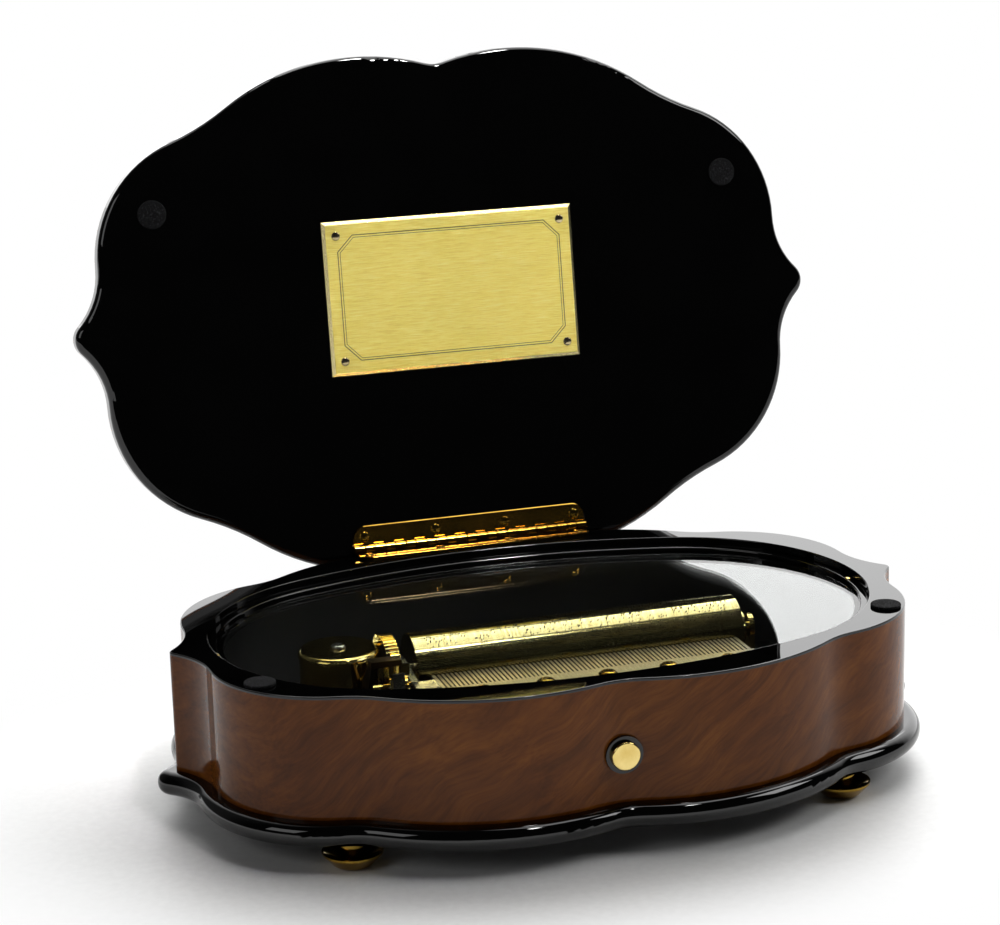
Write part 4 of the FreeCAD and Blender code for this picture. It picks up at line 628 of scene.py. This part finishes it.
def plaque_lines():
    """Plain double border line on the plaque; its middle stays bare."""
    bm = bmesh.new()
    for inset, cut, width in BORDER_LINES:
        outer, inner = [[bm.verts.new((x, PLAQUE_Y + y, PLAQUE_FACE - LINE_LIFT)) for x, y in loop]
                        for loop in line_border(inset, cut, width)]
        for i in range(len(outer)):
            j = (i + 1) % len(outer)
            bm.faces.new((outer[i], inner[i], inner[j], outer[j]))
    bmesh.ops.transform(bm, matrix=LID, verts=bm.verts)
    new_piece("plaque_border_lines", bm, ENAMEL, "lid")


def add_pin(bm, x, angle):
    """One square music pin with a narrower tip, which stands out of the drum at an angle about its axis."""
    out = Vector((0, math.cos(angle), math.sin(angle)))
    side = Vector((0, -math.sin(angle), math.cos(angle))) * PIN_RADIUS
    along = Vector((PIN_RADIUS, 0, 0))
    foot = Vector((x, DRUM_Y, DRUM_Z)) + out * (DRUM_RADIUS - PIN_ROOT)
    tip = foot + out * PIN_LENGTH
    around = [along, side, -along, -side]
    low = [bm.verts.new(foot + c) for c in around]
    high = [bm.verts.new(tip + c * PIN_TAPER) for c in around]
    for i in range(4):
        j = (i + 1) % 4
        bm.faces.new((low[i], low[j], high[j], high[i]))
    bm.faces.new(high)


def cylinder_pins():
    """Music pins in rings opposite each comb tooth, at random places that spell no tune."""
    tune = random.Random(72)
    bm = bmesh.new()
    pitch = COMB_LENGTH / COMB_TEETH
    for tooth in range(COMB_TEETH):
        for track in TUNE_TRACKS:
            x = COMB_LEFT + (tooth + 0.5) * pitch + track
            for _ in range(tune.randint(FEWEST_PINS, MOST_PINS)):
                add_pin(bm, x, tune.uniform(0, 2 * math.pi))
    bmesh.ops.recalc_face_normals(bm, faces=bm.faces)
    new_piece("cylinder_pins", bm, PIN_STEEL, "cylinder")


def studio_world():
    """A white backdrop that lights from behind, mostly at the right; the rest of the room is nearly dark."""
    world = bpy.data.worlds.new("studio")
    bpy.context.scene.world = world
    world.use_nodes = True
    tree = world.node_tree
    tree.nodes.clear()
    way = add_node(tree, "TexCoord").outputs["Generated"]
    split = add_node(tree, "SeparateXYZ", {"Vector": way})
    behind = add_node(tree, "MapRange", {"Value": split.outputs["Y"], "From Min": 0.05, "From Max": 0.5})
    right = add_node(tree, "MapRange", {"Value": split.outputs["X"], "From Min": -0.4, "From Max": 0.1,
                                        "To Min": 0.06, "To Max": 2.3})
    backdrop = add_node(tree, "Math", {0: behind.outputs["Result"], 1: right.outputs["Result"], 2: 0.015},
                        operation="MULTIPLY_ADD")
    # White shows to the camera and straight through glass; metal under the glass mirrors the studio itself
    path = add_node(tree, "LightPath")
    through = add_node(tree, "Math", {0: path.outputs["Is Transmission Ray"],
                                      1: path.outputs["Glossy Depth"]}, operation="SUBTRACT")
    seen = add_node(tree, "Math", {0: path.outputs["Is Camera Ray"], 1: through.outputs["Value"]},
                    operation="MAXIMUM")
    level = add_node(tree, "Mix", {"Factor": seen.outputs["Value"], "A": backdrop.outputs["Value"],
                                   "B": 1.0})
    sky = add_node(tree, "Background", {"Color": linear("ffffff"), "Strength": level.outputs["Result"]})
    add_node(tree, "OutputWorld", {"Surface": sky.outputs["Background"]})


def floor_finish():
    """Painted board with a soft sheen: pale, it keeps the object's shadow and fades to white further out."""
    material, tree, surface, mm = new_finish("pale_floor", {"Roughness": 0.45})
    grain = add_node(tree, "TexNoise", {"Vector": mm, "Scale": 1 / 3, "Detail": 2})
    pale = add_node(tree, "ValToRGB", {"Fac": grain.outputs["Fac"]}, [(0.3, "dededd"), (0.7, "e4e4e3")])
    set_inputs(tree, surface, {"Base Color": pale.outputs["Color"]})
    # The fade is an oval from 101 to 172 mm out in depth, and wider across
    oval = add_node(tree, "Mapping", {"Vector": mm, "Scale": (0.72, 1, 1)})
    reach = add_node(tree, "VectorMath", {0: oval.outputs["Vector"]}, operation="LENGTH")
    far = add_node(tree, "MapRange", {"Value": reach.outputs["Value"], "From Min": 101, "From Max": 172},
                   interpolation_type="SMOOTHSTEP")
    path = add_node(tree, "LightPath")
    seen = add_node(tree, "Math", {0: path.outputs["Is Camera Ray"], 1: path.outputs["Is Glossy Ray"]},
                    operation="MAXIMUM")
    fade = add_node(tree, "Math", {0: seen.outputs["Value"], 1: far.outputs["Result"]}, operation="MULTIPLY")
    white = add_node(tree, "Emission", {"Color": linear("ffffff"), "Strength": 1.0})
    blend = add_node(tree, "MixShader", {0: fade.outputs["Value"], 1: surface.outputs["BSDF"],
                                         2: white.outputs["Emission"]})
    set_inputs(tree, tree.nodes["Material Output"], {"Surface": blend.outputs["Shader"]})
    return material


def studio_floor():
    """A flat board under the feet, far wider than the view."""
    bm = bmesh.new()
    bmesh.ops.create_grid(bm, x_segments=2, y_segments=2, size=FLOOR_REACH)
    mesh = new_mesh("floor", bm)
    mesh.materials.append(floor_finish())
    new_object("floor", mesh)


def softboxes():
    """Large softboxes behind, above and at both sides, and a small gridded one aimed at the plaque."""
    # Name, place, aim, size in metres, power in watts, and how far the light fans out in degrees
    for name, place, aim, size, power, fan in (
            ("back_softbox", (0.45, 0.95, 0.95), (0, 0, 0.06), (0.9, 0.7), 5.0, 180),
            ("top_softbox", (0.35, 0.5, 1.25), (0, 0.2, 0.06), (1.3, 1.2), 13.0, 180),
            ("left_softbox", (-1.15, -0.62, 0.8), (0, 0, 0.06), (0.7, 0.6), 2.1, 180),
            ("right_softbox", (1.05, -0.45, 1.0), (0, 0, 0.06), (0.6, 0.5), 5.0, 180),
            ("gridded_softbox", (0.3, -0.35, 1.35), (0, 0.1, 0.155), (0.32, 0.32), 0.16, 8)):
        lamp = bpy.data.lights.new(name, "AREA")
        lamp.shape = "RECTANGLE"
        lamp.size, lamp.size_y = size
        lamp.energy = power
        lamp.spread = math.radians(fan)
        light = new_object(name, lamp)
        light.location = place
        light.rotation_euler = (Vector(aim) - Vector(place)).to_track_quat("-Z", "Y").to_euler()


def photo_camera():
    """Long lens from the front left, a little above, with the slight tilt of the photograph."""
    lens = bpy.data.cameras.new("photo_camera")
    # Sensor and focal length in millimetres, the rest in metres
    lens.sensor_width = 36
    lens.lens = 99.79
    lens.clip_start, lens.clip_end = 0.05, 50
    place = Vector((-0.277, -0.8668, 0.3506))
    aim = Vector((-0.009, 0.0163, 0.1069))
    roll = math.radians(-1.55)
    ahead = (aim - place).normalized()
    right = ahead.cross(Vector((0, 0, 1))).normalized()
    up = right.cross(ahead)
    across = right * math.cos(roll) + up * math.sin(roll)
    above = up * math.cos(roll) - right * math.sin(roll)
    camera = new_object("photo_camera", lens)
    camera.matrix_world = Matrix.Translation(place) @ Matrix((across, above, -ahead)).transposed().to_4x4()
    bpy.context.scene.camera = camera


dress_solids()
chamfer_hinge()
screw_heads()
felt_pads()
plaque_lines()
cylinder_pins()
studio_world()
studio_floor()
softboxes()
photo_camera()
bpy.context.scene.view_settings.view_transform = "Standard"
